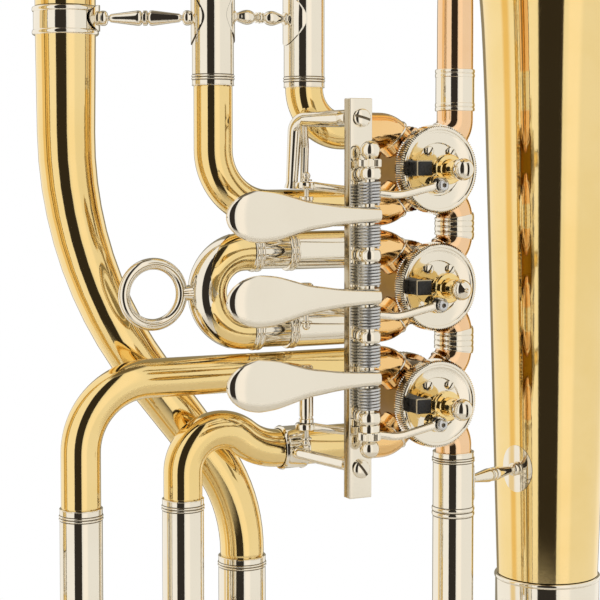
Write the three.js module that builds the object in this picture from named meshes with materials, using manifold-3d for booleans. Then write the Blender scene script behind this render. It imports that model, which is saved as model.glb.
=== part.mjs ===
// Oval alto horn with three rotary valves, built as separate named pieces.
// Millimetres. X runs along the valve slides, Y runs away from the bell side
// that shows the levers, and Z is up. The origin is the middle valve's centre.

import * as THREE from "three";
import { mergeVertices } from "three/addons/utils/BufferGeometryUtils.js";
import Module from "manifold-3d";

const wasm = await Module();
wasm.setup();

// Clearances
const seatGap = 0.3;
const cutOverrun = 1;
const bearingGap = 0.25;

// Valve block
const valvePitch = 43.1;
const casingRadius = 14.2;
const casingWall = 1.6;
const casingHalfDepth = 11.2;
const capRadius = 16.35;
const capThickness = 5.4;
const capFaceY = -15;
const capRimWidth = 2.4;
const capDishDepth = 1.3;
const capStepRadius = 8.6;
const capStepDepth = 0.9;
const rearCapY = 15;
const rearBossRadius = 5;

// Rotor, spindle and stop arm
const rotorHalfDepth = 10.2;
const rotorScoopRadius = 5.9;
const rotorScoopOffset = 11.3;
const spindleRadius = 2.4;
const stopDiscRadius = 5.5;
const stopDiscY = -20;
const stopDiscThickness = 3;
const stopBossRadius = 3.5;
const stopBossY = -28;
const stopNeckRadius = 2.6;
const domeRadius = 4;
const spindleTipY = -34.5;
const stopPinRadius = 8;
const stopPinCoreRadius = 1;
const stopPinBossRadius = 3.2;
const stopPinHeadRadius = 2.1;
const stopPinTipY = -27.8;

// Tubing of the valve slides
const tubeRadius = 6.8;
const boreRadius = 6.1;
const sleeveRadius = 7.3;
const sleeveBoreRadius = 6.8;
const beadRadius = 7.75;
const beadWidth = 1.4;
const beadPitch = 1.9;
const portReach = 14;
const mainX = 15.3;
const portBend = 8;
const portCollarRadius = 8.4;
const portCollarLength = 2.6;

// First valve slide, upwards
const slide1RightX = -48;
const slide1LeftX = -83.5;
const slide1RightBend = 15;
const slide1LeftBend = 21;
const slide1SleeveBottomZ = 72.3;
const slide1SleeveTopZ = 118;
const slide1BowZ = 128;

// Second valve slide, to the left
const slide2SleeveEndX = -56;
const slide2FerruleX = -66.5;
const slide2BowX = -71.8;
const slide2FerruleLength = 3.4;
const pullRingRadius = 10.6;
const pullRingWire = 2.05;
const pullRingX = -106.2;

// Third valve slide, downwards
const slide3LeftX = -132.6;
const slide3RightX = -95.3;
const slide3LeftBend = 24;
const slide3CrestBend = 14;
const slide3SwanBend = 22;
const slide3Rise = 8.2;
const slide3SleeveTopZ = -72;
const slide3SleeveBottomZ = -122;
const slide3BowZ = -134;

// Main tuning slide
const mainSleeveTopZ = -64;
const mainSleeveBottomZ = -150;
const mainSleeveRadius = 7.8;
const mainSleeveBore = 7.2;
const mainInnerRadius = 6.9;
const mainLeftX = -65.2;
const mainLeftY = 17;
const mainLeftSleeveRadius = 8.7;
const mainLeftSleeveBore = 8;
const mainLeftInnerRadius = 7.3;
const mainBowEndRadius = 8;
const mainLeftTopZ = -99;
const mainBowZ = -165;

// Conical main tube
const branchStartRadius = 8;
const branchTopRadius = 10.6;
const branchX = -129;
const branchY = 25;
const branchJointZ = 100;
const branchTurnZ = -77.3;
const branchLean = 36.9 * Math.PI / 180;
const branchFirstBend = 60;
const branchSecondBend = 144;
const branchTopZ = 152;
const topBowSpacing = 62;
const outerTopRadius = 11.8;
const outerBottomRadius = 15.2;
const outerBottomZ = -96;
const bottomBowBend = 118;
const bottomBowZ = -268;
const bottomEndRadius = 20.5;
const bellX = 74;
const bellY = 22;
const bellJointZ = -122;
const bellWall = 0.9;
const bellThroatZ = 70;
const bellThroatRadius = 26.5;
const bellTopZ = 262;
const bellRimRadius = 108;
const bellRimBead = 2;
const ferruleLip = 1.1;
const ferruleLength = 16;
const branchFerruleLength = 10;

// Lead pipe, receiver and mouthpiece
const leadFerruleBottomZ = 64.9;
const leadFerruleLength = 15.6;
const leadFerruleRadius = 7.6;
const leadTopZ = 150;
const leadBend = 26;
const leadTipRadius = 5;
const leadFrontY = -42;
const leadRightX = 128;
const leadEndY = 62;
const receiverRadius = 7.4;
const receiverLength = 34;
const receiverBore = 5.2;
const mouthpieceShank = 4.8;
const mouthpieceShankLength = 22;
const mouthpieceLength = 66;
const mouthpieceCupRadius = 12.9;
const mouthpieceCupBore = 8.6;
const mouthpieceCupDepth = 14;
const mouthpieceThroat = 3.4;

// Lever rail, hinge rod and springs
const railX = -43;
const railFrontY = -34.2;
const railThickness = 4.4;
const railWidth = 8.7;
const railTopZ = 67.5;
const railBottomZ = -70.5;
const rodY = -40.5;
const rodRadius = 1.7;
const postPitch = 27.8;
const postHeight = 3.8;
const postRingRadius = 3.85;
const postFootRadius = 2.7;
const rodBarrelRadius = 3.5;
const rodBarrelHeight = 2.6;
const rodCollarRadius = 3.9;
const rodCollarHeight = 2.8;
const rodBallRadius = 3.4;
const ballNeckAngle = -1.1;
const springRadius = 3.2;
const springWire = 0.3;
const springCurls = 6;
const springSteps = 8;
const springSides = 4;
const screwHeadRadius = 3.2;
const screwHeadHeight = 1.3;

// Finger levers and links
const hubHeight = 5.4;
const hubRadius = 3.5;
const paddleLength = 55;
const paddleHalfWidth = 8.55;
const paddleTailHalfWidth = 2.4;
const paddleThickness = 2.6;
const paddleCrown = 1.1;
const paddleEdgeShare = 0.3;
const armX = -52.8;
const armY = -11.5;
const armThickness = 3;
const armRootX = -60;
const barrelRadius = 2.5;
const pivotPinRadius = 0.9;
const pivotGap = 1.4;
const pivotLead = 0.85;
const pivotEyeRadius = 3.6;
const pivotEyeHeight = 2.4;
const pivotPlay = 2.7;
const pivotZ1 = 37.5;
const pivotZ2 = -6.6;
const pivotZ3 = -48.2;
const finialRadius = 1.45;
const linkRadius = 1.5;
const linkPinEyeRadius = 2.75;
const linkPinEyeLength = 3.2;
const linkBendX = -23;
const linkDrop = 4.8;
const linkBend = 22;

// Braces
const braceRadius = 1.9;
const braceBallRadius = 3.4;
const bracePlateThickness = 0.9;
const bracePlateLength = 14;
const bracePlateWidth = 7;
const slide1BraceZ = 96.7;
const leftBraceZ = 96;
const rightBraceZ = -76.5;
const railBraceRadius = 3.1;
const railBraceZ = 60.8;
const railBraceFootX = -54.4;
const railBraceForkX = -50;
const railBraceFootY = -3;
const railBraceBend = 5;
const lowerSaddleX = -53.5;
const lowerSaddleLength = 9.5;
const lowerSaddleRadius = 8;
const lowerBraceRadius = 2.1;
const lowerBraceZ = -60.2;
const lowerBraceFootX = -55.2;
const lowerBraceFootZ = -57.8;

// Facets
const tubeSides = 9;
const pinSides = 8;
const bellSides = 24;
const turnedSides = 12;
const bendStepAngle = Math.PI / 8;

// Finishes
const yellowBrass = { color: 0xe0b04a, roughness: 0.16, metalness: 1 };
const goldBrass = { color: 0xd9925a, roughness: 0.18, metalness: 1 };
const nickelSilver = { color: 0xd9d3c2, roughness: 0.14, metalness: 1 };
const springSteel = { color: 0x8f9294, roughness: 0.3, metalness: 1 };
const silverPlate = { color: 0xd8d8d4, roughness: 0.12, metalness: 1 };

const horn = new THREE.Group();
horn.name = "alto_horn";

const vec = (x, y, z) => new THREE.Vector3(x, y, z);

// Geometry helpers: one closed, outward-facing body from any geometry
function signedVolume(position, index) {
  const [a, b, c] = [vec(0, 0, 0), vec(0, 0, 0), vec(0, 0, 0)];
  let total = 0;
  for (let i = 0; i < index.count; i += 3) {
    a.fromBufferAttribute(position, index.getX(i));
    b.fromBufferAttribute(position, index.getX(i + 1));
    c.fromBufferAttribute(position, index.getX(i + 2));
    total += a.dot(b.cross(c)) / 6;
  }
  return total;
}

function closed(source) {
  const bare = source.clone();
  for (const key of Object.keys(bare.attributes)) {
    if (key !== "position") bare.deleteAttribute(key);
  }
  const merged = mergeVertices(bare, 1e-4);
  const index = merged.index;
  const kept = [];
  for (let i = 0; i < index.count; i += 3) {
    const [a, b, c] = [index.getX(i), index.getX(i + 1), index.getX(i + 2)];
    if (a !== b && b !== c && c !== a) kept.push(a, b, c);
  }
  merged.setIndex(kept);
  if (signedVolume(merged.attributes.position, merged.index) < 0) {
    for (let i = 0; i < kept.length; i += 3) {
      [kept[i + 1], kept[i + 2]] = [kept[i + 2], kept[i + 1]];
    }
    merged.setIndex(kept);
  }
  return merged;
}

function toManifold(geometry) {
  const body = closed(geometry);
  return new wasm.Manifold(new wasm.Mesh({
    numProp: 3,
    vertProperties: Float32Array.from(body.attributes.position.array),
    triVerts: Uint32Array.from(body.index.array),
  }));
}

function fromManifold(manifold) {
  const mesh = manifold.getMesh();
  const geometry = new THREE.BufferGeometry();
  geometry.setAttribute("position", new THREE.Float32BufferAttribute(mesh.vertProperties, 3));
  geometry.setIndex(Array.from(mesh.triVerts));
  return geometry;
}

function fuse(...geometries) {
  const solids = geometries.map(toManifold);
  return fromManifold(solids.reduce((all, next) => all.add(next)));
}

function cut(body, ...tools) {
  const start = toManifold(body);
  return fromManifold(tools.map(toManifold).reduce((all, next) => all.subtract(next), start));
}

function place(name, geometry, finish) {
  const shape = closed(geometry);
  shape.computeVertexNormals();
  const mesh = new THREE.Mesh(shape, new THREE.MeshStandardMaterial(finish));
  mesh.name = name;
  horn.add(mesh);
  return mesh;
}

// A turned piece: outline of [radius, height] pairs about an axis through a point
function turned(outline, axis, origin, sides = turnedSides) {
  const points = outline.map(([radius, height]) => new THREE.Vector2(radius, height));
  const lathe = new THREE.LatheGeometry(points, sides);
  const turn = new THREE.Quaternion().setFromUnitVectors(vec(0, 1, 0), axis.clone().normalize());
  lathe.applyQuaternion(turn);
  lathe.translate(origin.x, origin.y, origin.z);
  return lathe;
}

const disc = (radius, low, high) => [[0, low], [radius, low], [radius, high], [0, high]];

function ringOutline(outer, inner, low, high) {
  return [[inner, low], [outer, low], [outer, high], [inner, high], [inner, low]];
}

function arcOutline(radius, centre, steps, from = -Math.PI / 2, to = Math.PI / 2) {
  const points = [];
  for (let i = 0; i <= steps; i += 1) {
    const angle = from + (to - from) * i / steps;
    const reach = radius * Math.cos(angle);
    points.push([Math.abs(reach) < radius / 1e6 ? 0 : reach, centre + radius * Math.sin(angle)]);
  }
  return points;
}

function box(width, depth, height, x, y, z) {
  return new THREE.BoxGeometry(width, depth, height).translate(x, y, z);
}

// A route: straight runs joined by bends, given as corners [x, y, z, bend radius]
function makeRoute(corners) {
  const points = corners.map(([x, y, z]) => vec(x, y, z));
  const pieces = [];
  let from = points[0];
  for (let i = 1; i < points.length; i += 1) {
    const inDir = points[i].clone().sub(points[i - 1]).normalize();
    const last = i === points.length - 1;
    const outDir = last ? inDir : points[i + 1].clone().sub(points[i]).normalize();
    const angle = inDir.angleTo(outDir);
    const radius = corners[i][3] ?? 0;
    const setback = last ? 0 : radius * Math.tan(angle / 2);
    const end = points[i].clone().addScaledVector(inDir, -setback);
    pieces.push({ start: from, dir: inDir, length: end.distanceTo(from), bend: 0 });
    if (!last) {
      const side = outDir.clone().addScaledVector(inDir, -Math.cos(angle)).normalize();
      pieces.push({ start: end, dir: inDir, side, length: radius * angle, bend: radius, angle });
      from = points[i].clone().addScaledVector(outDir, setback);
    }
  }
  let travelled = 0;
  const first = pieces[0].dir;
  const aside = Math.abs(first.y) < 0.9 ? vec(0, 1, 0) : vec(1, 0, 0);
  let normal = aside.clone().addScaledVector(first, -aside.dot(first)).normalize();
  const stops = [0];
  for (const piece of pieces) {
    piece.at = travelled;
    piece.normal = normal.clone();
    if (piece.bend > 0) {
      const axis = piece.dir.clone().cross(piece.side).normalize();
      piece.axis = axis;
      const steps = Math.max(1, Math.ceil(piece.angle / bendStepAngle));
      for (let k = 1; k <= steps; k += 1) stops.push(travelled + piece.length * k / steps);
      normal = normal.clone().applyAxisAngle(axis, piece.angle);
    } else if (piece.length > 0) {
      stops.push(travelled + piece.length);
    }
    travelled += piece.length;
  }
  return { pieces, length: travelled, stops };
}

function routeAt(route, s) {
  let piece = route.pieces[0];
  for (const next of route.pieces) {
    if (next.length > 0 && next.at <= s + 1e-9) piece = next;
  }
  const run = s - piece.at;
  if (piece.bend === 0) {
    const point = piece.start.clone().addScaledVector(piece.dir, run);
    return { point, tangent: piece.dir.clone(), normal: piece.normal.clone() };
  }
  const phi = run / piece.bend;
  const point = piece.start.clone()
    .addScaledVector(piece.dir, piece.bend * Math.sin(phi))
    .addScaledVector(piece.side, piece.bend * (1 - Math.cos(phi)));
  const tangent = piece.dir.clone().applyAxisAngle(piece.axis, phi);
  return { point, tangent, normal: piece.normal.clone().applyAxisAngle(piece.axis, phi) };
}

function radiusAt(profile, s) {
  if (s <= profile[0][0]) return profile[0][1];
  for (let i = 1; i < profile.length; i += 1) {
    const [s0, r0] = profile[i - 1];
    const [s1, r1] = profile[i];
    if (s <= s1 && s1 > s0) return r0 + (r1 - r0) * (s - s0) / (s1 - s0);
  }
  return profile[profile.length - 1][1];
}

// Stations of a profile of [distance, radius] pairs, with the route's own stops between
function stationsOf(route, profile) {
  const low = profile[0][0];
  const high = profile[profile.length - 1][0];
  const apart = 1e-3;
  const extra = route.stops
    .filter((s) => s > low + apart && s < high - apart)
    .filter((s) => profile.every(([at]) => Math.abs(at - s) > apart))
    .map((s) => [s, radiusAt(profile, s)]);
  const keyed = profile.map(([s, r], order) => ({ s, r, order }));
  extra.forEach(([s, r]) => keyed.push({ s, r, order: 0 }));
  keyed.sort((one, two) => one.s - two.s || one.order - two.order);
  return keyed.map(({ s, r }) => [s, r]);
}

function sweep(route, outer, inner = null, sides = tubeSides) {
  const rings = stationsOf(route, outer);
  if (inner) rings.push(...stationsOf(route, inner).reverse());
  const vertices = [];
  const triangles = [];
  for (const [s, r] of rings) {
    const { point, tangent, normal } = routeAt(route, s);
    const other = tangent.clone().cross(normal);
    for (let k = 0; k < sides; k += 1) {
      const angle = 2 * Math.PI * k / sides;
      const spot = point.clone()
        .addScaledVector(normal, r * Math.cos(angle))
        .addScaledVector(other, r * Math.sin(angle));
      vertices.push(spot.x, spot.y, spot.z);
    }
  }
  const join = (one, two) => {
    for (let k = 0; k < sides; k += 1) {
      const next = (k + 1) % sides;
      triangles.push(one * sides + k, one * sides + next, two * sides + next);
      triangles.push(one * sides + k, two * sides + next, two * sides + k);
    }
  };
  for (let i = 1; i < rings.length; i += 1) join(i - 1, i);
  if (inner) {
    join(rings.length - 1, 0);
  } else {
    for (const ring of [0, rings.length - 1]) {
      const centre = vertices.length / 3;
      const { point } = routeAt(route, rings[ring][0]);
      vertices.push(point.x, point.y, point.z);
      for (let k = 0; k < sides; k += 1) {
        const pair = [ring * sides + k, ring * sides + (k + 1) % sides];
        if (ring === 0) pair.reverse();
        triangles.push(centre, ...pair);
      }
    }
  }
  const geometry = new THREE.BufferGeometry();
  geometry.setAttribute("position", new THREE.Float32BufferAttribute(vertices, 3));
  geometry.setIndex(triangles);
  return geometry;
}

// A profile that steps out in a pair of turned beads from a start distance
function beads(start, base, count = 2, crest = beadRadius) {
  const points = [];
  for (let i = 0; i < count; i += 1) {
    const low = start + i * beadPitch;
    points.push([low, base], [low + beadWidth / 2, crest], [low + beadWidth, base]);
  }
  return points;
}

// Places that several pieces share
const up = vec(0, 0, 1);
const front = vec(0, -1, 0);
const valves = [1, 0, -1].map((step, i) => ({ number: i + 1, z: step * valvePitch }));
const bowRadius = (one, two) => Math.abs(one - two) / 2;
const clearance = casingRadius + seatGap;

// Valve casings, caps, rotors and stop arms
function portCutter(z, sideX, sideZ) {
  const reach = casingRadius + cutOverrun;
  const route = makeRoute([[0, 0, z], [sideX * reach, 0, z + sideZ * reach]]);
  return sweep(route, [[casingRadius / 2, boreRadius], [route.length, boreRadius]]);
}

function makeCasing({ number, z }) {
  const inner = casingRadius - casingWall;
  const shell = turned(
    ringOutline(casingRadius, inner, -casingHalfDepth, casingHalfDepth),
    front, vec(0, 0, z), turnedSides);
  const ports = [];
  for (const sideX of [-1, 1]) {
    for (const sideZ of [-1, 1]) ports.push(portCutter(z, sideX, sideZ));
  }
  place(`valve_casing_${number}`, cut(shell, ...ports), yellowBrass);
}

function makeFrontCap({ number, z }) {
  const face = -capFaceY;
  const skirt = face - capThickness;
  const plate = casingHalfDepth + seatGap;
  const floor = face - capDishDepth;
  const rimInner = capRadius - capRimWidth;
  const bore = spindleRadius + seatGap;
  const edge = capRimWidth / 6;
  place(`front_cap_${number}`, turned([
    [bore, plate], [clearance, plate], [clearance, skirt], [capRadius, skirt],
    [capRadius, face - edge], [capRadius - edge, face], [rimInner, face],
    [rimInner - edge, floor + edge], [(rimInner + capStepRadius) / 2, floor],
    [capStepRadius, floor], [capStepRadius - edge, floor - capStepDepth],
    [bore, floor - capStepDepth], [bore, plate],
  ], front, vec(0, 0, z), turnedSides), nickelSilver);
}

function makeRearCap({ number, z }) {
  const plate = casingHalfDepth + seatGap;
  const skirt = rearCapY - capThickness;
  const edge = capRimWidth / 6;
  place(`rear_cap_${number}`, turned([
    [0, plate], [clearance, plate], [clearance, skirt], [capRadius, skirt],
    [capRadius, rearCapY - edge], [capRadius - edge, rearCapY],
    [capRadius - capRimWidth, rearCapY], [rearBossRadius, rearCapY - capStepDepth],
    [rearBossRadius, rearCapY], [0, rearCapY + edge],
  ], front.clone().negate(), vec(0, 0, z), turnedSides), nickelSilver);
}

function makeRotor({ number, z }) {
  const rotorRadius = (casingRadius - casingWall) * Math.cos(Math.PI / turnedSides) - bearingGap;
  const core = turned([
    [0, -rotorHalfDepth], [rotorRadius, -rotorHalfDepth], [rotorRadius, rotorHalfDepth],
    [spindleRadius, rotorHalfDepth], [spindleRadius, -stopDiscY - stopDiscThickness / 2 - seatGap],
    [0, -stopDiscY - stopDiscThickness / 2 - seatGap],
  ], front, vec(0, 0, z), turnedSides);
  const scoops = [-1, 1].map((side) => {
    const x = side * rotorScoopOffset;
    const reach = rotorRadius + cutOverrun;
    return sweep(
      makeRoute([[x, 0, z - reach], [x, 0, z + reach]]),
      [[0, rotorScoopRadius], [reach + reach, rotorScoopRadius]]);
  });
  place(`rotor_${number}`, cut(core, ...scoops), yellowBrass);
}

const stopPinOffset = stopPinRadius * Math.SQRT1_2;
const eyeBackY = stopDiscY - stopDiscThickness / 2 - capStepDepth;
const eyeMidY = eyeBackY - seatGap - linkPinEyeLength / 2;

function makeStopArm({ number, z }) {
  const discFront = -stopDiscY + stopDiscThickness / 2;
  const neck = -stopBossY + stopNeckRadius / 2;
  const domeRise = -spindleTipY - neck;
  const hub = turned([
    [0, discFront - stopDiscThickness], [stopDiscRadius, discFront - stopDiscThickness],
    [stopDiscRadius, discFront], [stopBossRadius, discFront], [stopBossRadius, -stopBossY],
    [stopNeckRadius, -stopBossY], [stopNeckRadius, neck],
    [domeRadius, neck], [domeRadius, neck + domeRise / 4],
    [domeRadius * 0.85, neck + domeRise / 2], [domeRadius / 2, neck + domeRise * 0.87],
    [0, -spindleTipY],
  ], front, vec(0, 0, z), tubeSides);
  const pinX = -stopPinOffset;
  const pinZ = z - stopPinOffset;
  const web = box(stopPinRadius, stopDiscThickness / 2, stopPinCoreRadius * 3, 0, 0, 0)
    .translate(stopPinRadius / 2, stopDiscY, 0)
    .applyMatrix4(new THREE.Matrix4().makeRotationY(Math.PI * 3 / 4))
    .translate(0, 0, z);
  const head = eyeMidY - linkPinEyeLength / 2 - seatGap;
  const pin = turned([
    [0, -stopDiscY - stopDiscThickness / 2], [stopPinBossRadius, -stopDiscY - stopDiscThickness / 2],
    [stopPinBossRadius, -eyeBackY], [stopPinCoreRadius, -eyeBackY], [stopPinCoreRadius, -head],
    [stopPinHeadRadius, -head], [stopPinHeadRadius, -stopPinTipY - stopPinCoreRadius / 2],
    [stopPinHeadRadius - stopPinCoreRadius / 2, -stopPinTipY], [0, -stopPinTipY],
  ], front, vec(pinX, 0, pinZ), pinSides);
  place(`stop_arm_${number}`, fuse(hub, web, pin), yellowBrass);
}

for (const valve of valves) {
  makeCasing(valve);
  makeFrontCap(valve);
  makeRearCap(valve);
  makeRotor(valve);
  makeStopArm(valve);
}

// Tubes that leave a valve at 45 degrees and turn along the slide or the main way
const casingCutter = (z) => turned(
  disc(clearance, -casingHalfDepth - cutOverrun, casingHalfDepth + cutOverrun),
  front, vec(0, 0, z), turnedSides);

function fitToValve(tube, ...heights) {
  return cut(tube, ...heights.map(casingCutter));
}

function collarProfile(end, radius = tubeRadius) {
  const collarEnd = casingRadius + portCollarLength;
  const start = casingRadius / 2;
  return [[start, portCollarRadius], [collarEnd, portCollarRadius],
    [collarEnd, radius], [end, radius]];
}

const corner = (sideX, sideZ, z) => [sideX * portReach, 0, z + sideZ * portReach, portBend];

// Main way: lead pipe into valve 1, knuckles between valves, elbow to the tuning slide
const mainCorner = (sideZ, z) => [mainX, 0, z + sideZ * mainX, portBend];

function makeLeadPipe() {
  const { z } = valves[0];
  const route = makeRoute([
    [0, 0, z], mainCorner(1, z), [mainX, 0, leadTopZ, leadBend],
    [(mainX + bellX) / 2, leadFrontY, leadTopZ + leadBend / 2, leadBend],
    [leadRightX - leadBend / 2, leadFrontY + leadBend / 2, leadTopZ + leadBend, leadBend],
    [leadRightX, leadEndY / 3, leadTopZ + leadBend, leadBend],
    [leadRightX, leadEndY, leadTopZ + leadBend],
  ]);
  const ferruleStart = route.pieces[2].at + leadFerruleBottomZ - route.pieces[2].start.z;
  const ferruleEnd = ferruleStart + leadFerruleLength;
  const profile = [
    ...collarProfile(ferruleStart), [ferruleStart, leadFerruleRadius],
    [ferruleEnd, leadFerruleRadius], [ferruleEnd, tubeRadius],
    [ferruleEnd + leadFerruleLength, tubeRadius], [route.length, leadTipRadius],
  ];
  place("lead_pipe", fitToValve(sweep(route, profile), z), goldBrass);
  return routeAt(route, route.length);
}

function makeReceiver(end) {
  const dir = end.tangent;
  const socket = mouthpieceShankLength + seatGap;
  const low = seatGap;
  const high = receiverLength;
  place("receiver", turned([
    [0, low], [leadTipRadius, low], [receiverRadius, low + beadWidth],
    [receiverRadius, low + beadWidth + beadPitch], [leadTipRadius + beadWidth, low + beadPitch * 3],
    [leadTipRadius + beadWidth, high - beadPitch * 3], [receiverRadius, high - beadPitch * 2],
    [receiverRadius, high], [receiverBore, high], [receiverBore, high - socket],
    [0, high - socket],
  ], dir, end.point, turnedSides), nickelSilver);
  return end.point.clone().addScaledVector(dir, high - mouthpieceShankLength);
}

function makeMouthpiece(start, dir) {
  const cupStart = mouthpieceLength - mouthpieceCupDepth - mouthpieceCupRadius;
  const rim = mouthpieceLength;
  place("mouthpiece", turned([
    [0, 0], [mouthpieceShank, 0], [mouthpieceShank, mouthpieceShankLength],
    [mouthpieceShank * 0.9, cupStart * 0.75], [mouthpieceShank * 1.3, cupStart],
    [mouthpieceCupRadius * 0.8, cupStart + mouthpieceCupRadius * 0.6],
    [mouthpieceCupRadius * 0.92, rim - mouthpieceCupDepth * 0.4],
    [mouthpieceCupRadius, rim - mouthpieceCupDepth * 0.15],
    [(mouthpieceCupRadius + mouthpieceCupBore) / 2, rim],
    [mouthpieceCupBore, rim - mouthpieceCupDepth * 0.15],
    [mouthpieceCupBore * 0.9, rim - mouthpieceCupDepth * 0.55],
    [mouthpieceThroat, rim - mouthpieceCupDepth], [0, rim - mouthpieceCupDepth],
  ], dir, start, turnedSides), silverPlate);
}

const leadEnd = makeLeadPipe();
makeMouthpiece(makeReceiver(leadEnd), leadEnd.tangent);

function makeKnuckle(upper, lower) {
  const route = makeRoute([
    [0, 0, upper.z], mainCorner(-1, upper.z), mainCorner(1, lower.z), [0, 0, lower.z],
  ]);
  const middle = route.length / 2;
  const startBead = middle - beadPitch * 2;
  const collarEnd = casingRadius + portCollarLength;
  place(`knuckle_${upper.number}_${lower.number}`, fitToValve(sweep(route, [
    [casingRadius / 2, portCollarRadius], [collarEnd, portCollarRadius], [collarEnd, tubeRadius],
    ...beads(startBead, tubeRadius, 4),
    [route.length - collarEnd, tubeRadius], [route.length - collarEnd, portCollarRadius],
    [route.length - casingRadius / 2, portCollarRadius],
  ]), upper.z, lower.z), goldBrass);
}

makeKnuckle(valves[0], valves[1]);
makeKnuckle(valves[1], valves[2]);

function straightSleeve(name, bottom, top, outer, inner, beadStarts, crest) {
  const route = makeRoute([bottom, top]);
  const profile = [[0, outer]];
  for (const start of beadStarts) profile.push(...beads(start, outer, 2, crest));
  profile.push([route.length, outer]);
  place(name, sweep(route, profile, [[0, inner], [route.length, inner]]), nickelSilver);
}

function makeExitElbow() {
  const { z } = valves[2];
  const route = makeRoute([[0, 0, z], mainCorner(-1, z), [mainX, 0, mainSleeveTopZ + seatGap]]);
  place("exit_elbow", fitToValve(sweep(route, collarProfile(route.length)), z), goldBrass);
  const length = mainSleeveTopZ - mainSleeveBottomZ;
  straightSleeve("main_sleeve_right", [mainX, 0, mainSleeveBottomZ], [mainX, 0, mainSleeveTopZ],
    mainSleeveRadius, mainSleeveBore,
    [beadPitch / 2, length * 0.72, length - beadPitch * 2], mainSleeveRadius + beadWidth / 3);
  const leftLength = mainLeftTopZ - mainSleeveBottomZ;
  straightSleeve("main_sleeve_left", [mainLeftX, mainLeftY, mainSleeveBottomZ],
    [mainLeftX, mainLeftY, mainLeftTopZ], mainLeftSleeveRadius, mainLeftSleeveBore,
    [beadPitch / 2, leftLength - beadPitch * 2.5], mainLeftSleeveRadius + beadWidth / 3);
}
makeExitElbow();

function makeMainSlide() {
  const spacing = Math.hypot(mainX - mainLeftX, mainLeftY);
  const bend = spacing / 2 - seatGap;
  const top = mainSleeveTopZ - tubeRadius * 2;
  const leftTop = mainLeftTopZ - tubeRadius;
  const low = mainBowZ - bend;
  const route = makeRoute([
    [mainX, 0, top], [mainX, 0, low, bend], [mainLeftX, mainLeftY, low, bend],
    [mainLeftX, mainLeftY, leftTop],
  ]);
  const stopRight = top - mainSleeveBottomZ + seatGap;
  const stopLeft = route.length - (leftTop - mainSleeveBottomZ) - seatGap;
  const ferruleStop = branchFerruleLength;
  place("main_slide", sweep(route, [
    [0, mainInnerRadius], [stopRight, mainInnerRadius], [stopRight, mainSleeveRadius],
    [stopRight + ferruleStop, mainSleeveRadius], [stopRight + ferruleStop, mainInnerRadius],
    [stopLeft - ferruleStop, mainBowEndRadius], [stopLeft - ferruleStop, mainLeftSleeveRadius],
    [stopLeft, mainLeftSleeveRadius], [stopLeft, mainLeftInnerRadius],
    [route.length, mainLeftInnerRadius],
  ]), yellowBrass);
}
makeMainSlide();

// A moving U slide whose legs telescope in two sleeves
function slideProfile(route, innerLength, radius = sleeveBoreRadius - seatGap) {
  const far = route.length - innerLength;
  return [
    [0, radius], [innerLength, radius], [innerLength, sleeveRadius],
    [innerLength + slide2FerruleLength, sleeveRadius],
    [innerLength + slide2FerruleLength, tubeRadius],
    [far - slide2FerruleLength, tubeRadius], [far - slide2FerruleLength, sleeveRadius],
    [far, sleeveRadius], [far, radius], [route.length, radius],
  ];
}

// First valve slide
function makeSlide1() {
  const { z } = valves[0];
  const upperRoute = makeRoute([
    [0, 0, z], corner(-1, 1, z), [slide1RightX, 0, z + portReach, slide1RightBend],
    [slide1RightX, 0, slide1SleeveBottomZ - seatGap],
  ]);
  place("slide_1_upper_tube",
    fitToValve(sweep(upperRoute, collarProfile(upperRoute.length)), z), yellowBrass);
  const lowerRoute = makeRoute([
    [0, 0, z], corner(-1, -1, z), [slide1LeftX, 0, z - portReach, slide1LeftBend],
    [slide1LeftX, 0, slide1SleeveBottomZ - seatGap],
  ]);
  place("slide_1_lower_tube",
    fitToValve(sweep(lowerRoute, collarProfile(lowerRoute.length)), z), yellowBrass);
  for (const [side, x] of [["right", slide1RightX], ["left", slide1LeftX]]) {
    const length = slide1SleeveTopZ - slide1SleeveBottomZ;
    straightSleeve(`slide_1_sleeve_${side}`, [x, 0, slide1SleeveBottomZ],
      [x, 0, slide1SleeveTopZ], sleeveRadius, sleeveBoreRadius,
      [beadPitch, length - beadPitch * 2], beadRadius);
  }
  const bend = bowRadius(slide1RightX, slide1LeftX) - seatGap / 10;
  const low = slide1SleeveBottomZ + tubeRadius;
  const top = slide1BowZ + bend;
  const route = makeRoute([
    [slide1RightX, 0, low], [slide1RightX, 0, top, bend],
    [slide1LeftX, 0, top, bend], [slide1LeftX, 0, low],
  ]);
  const inner = slide1SleeveTopZ + seatGap - low;
  place("slide_1", sweep(route, slideProfile(route, inner)), yellowBrass);
}
makeSlide1();

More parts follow.
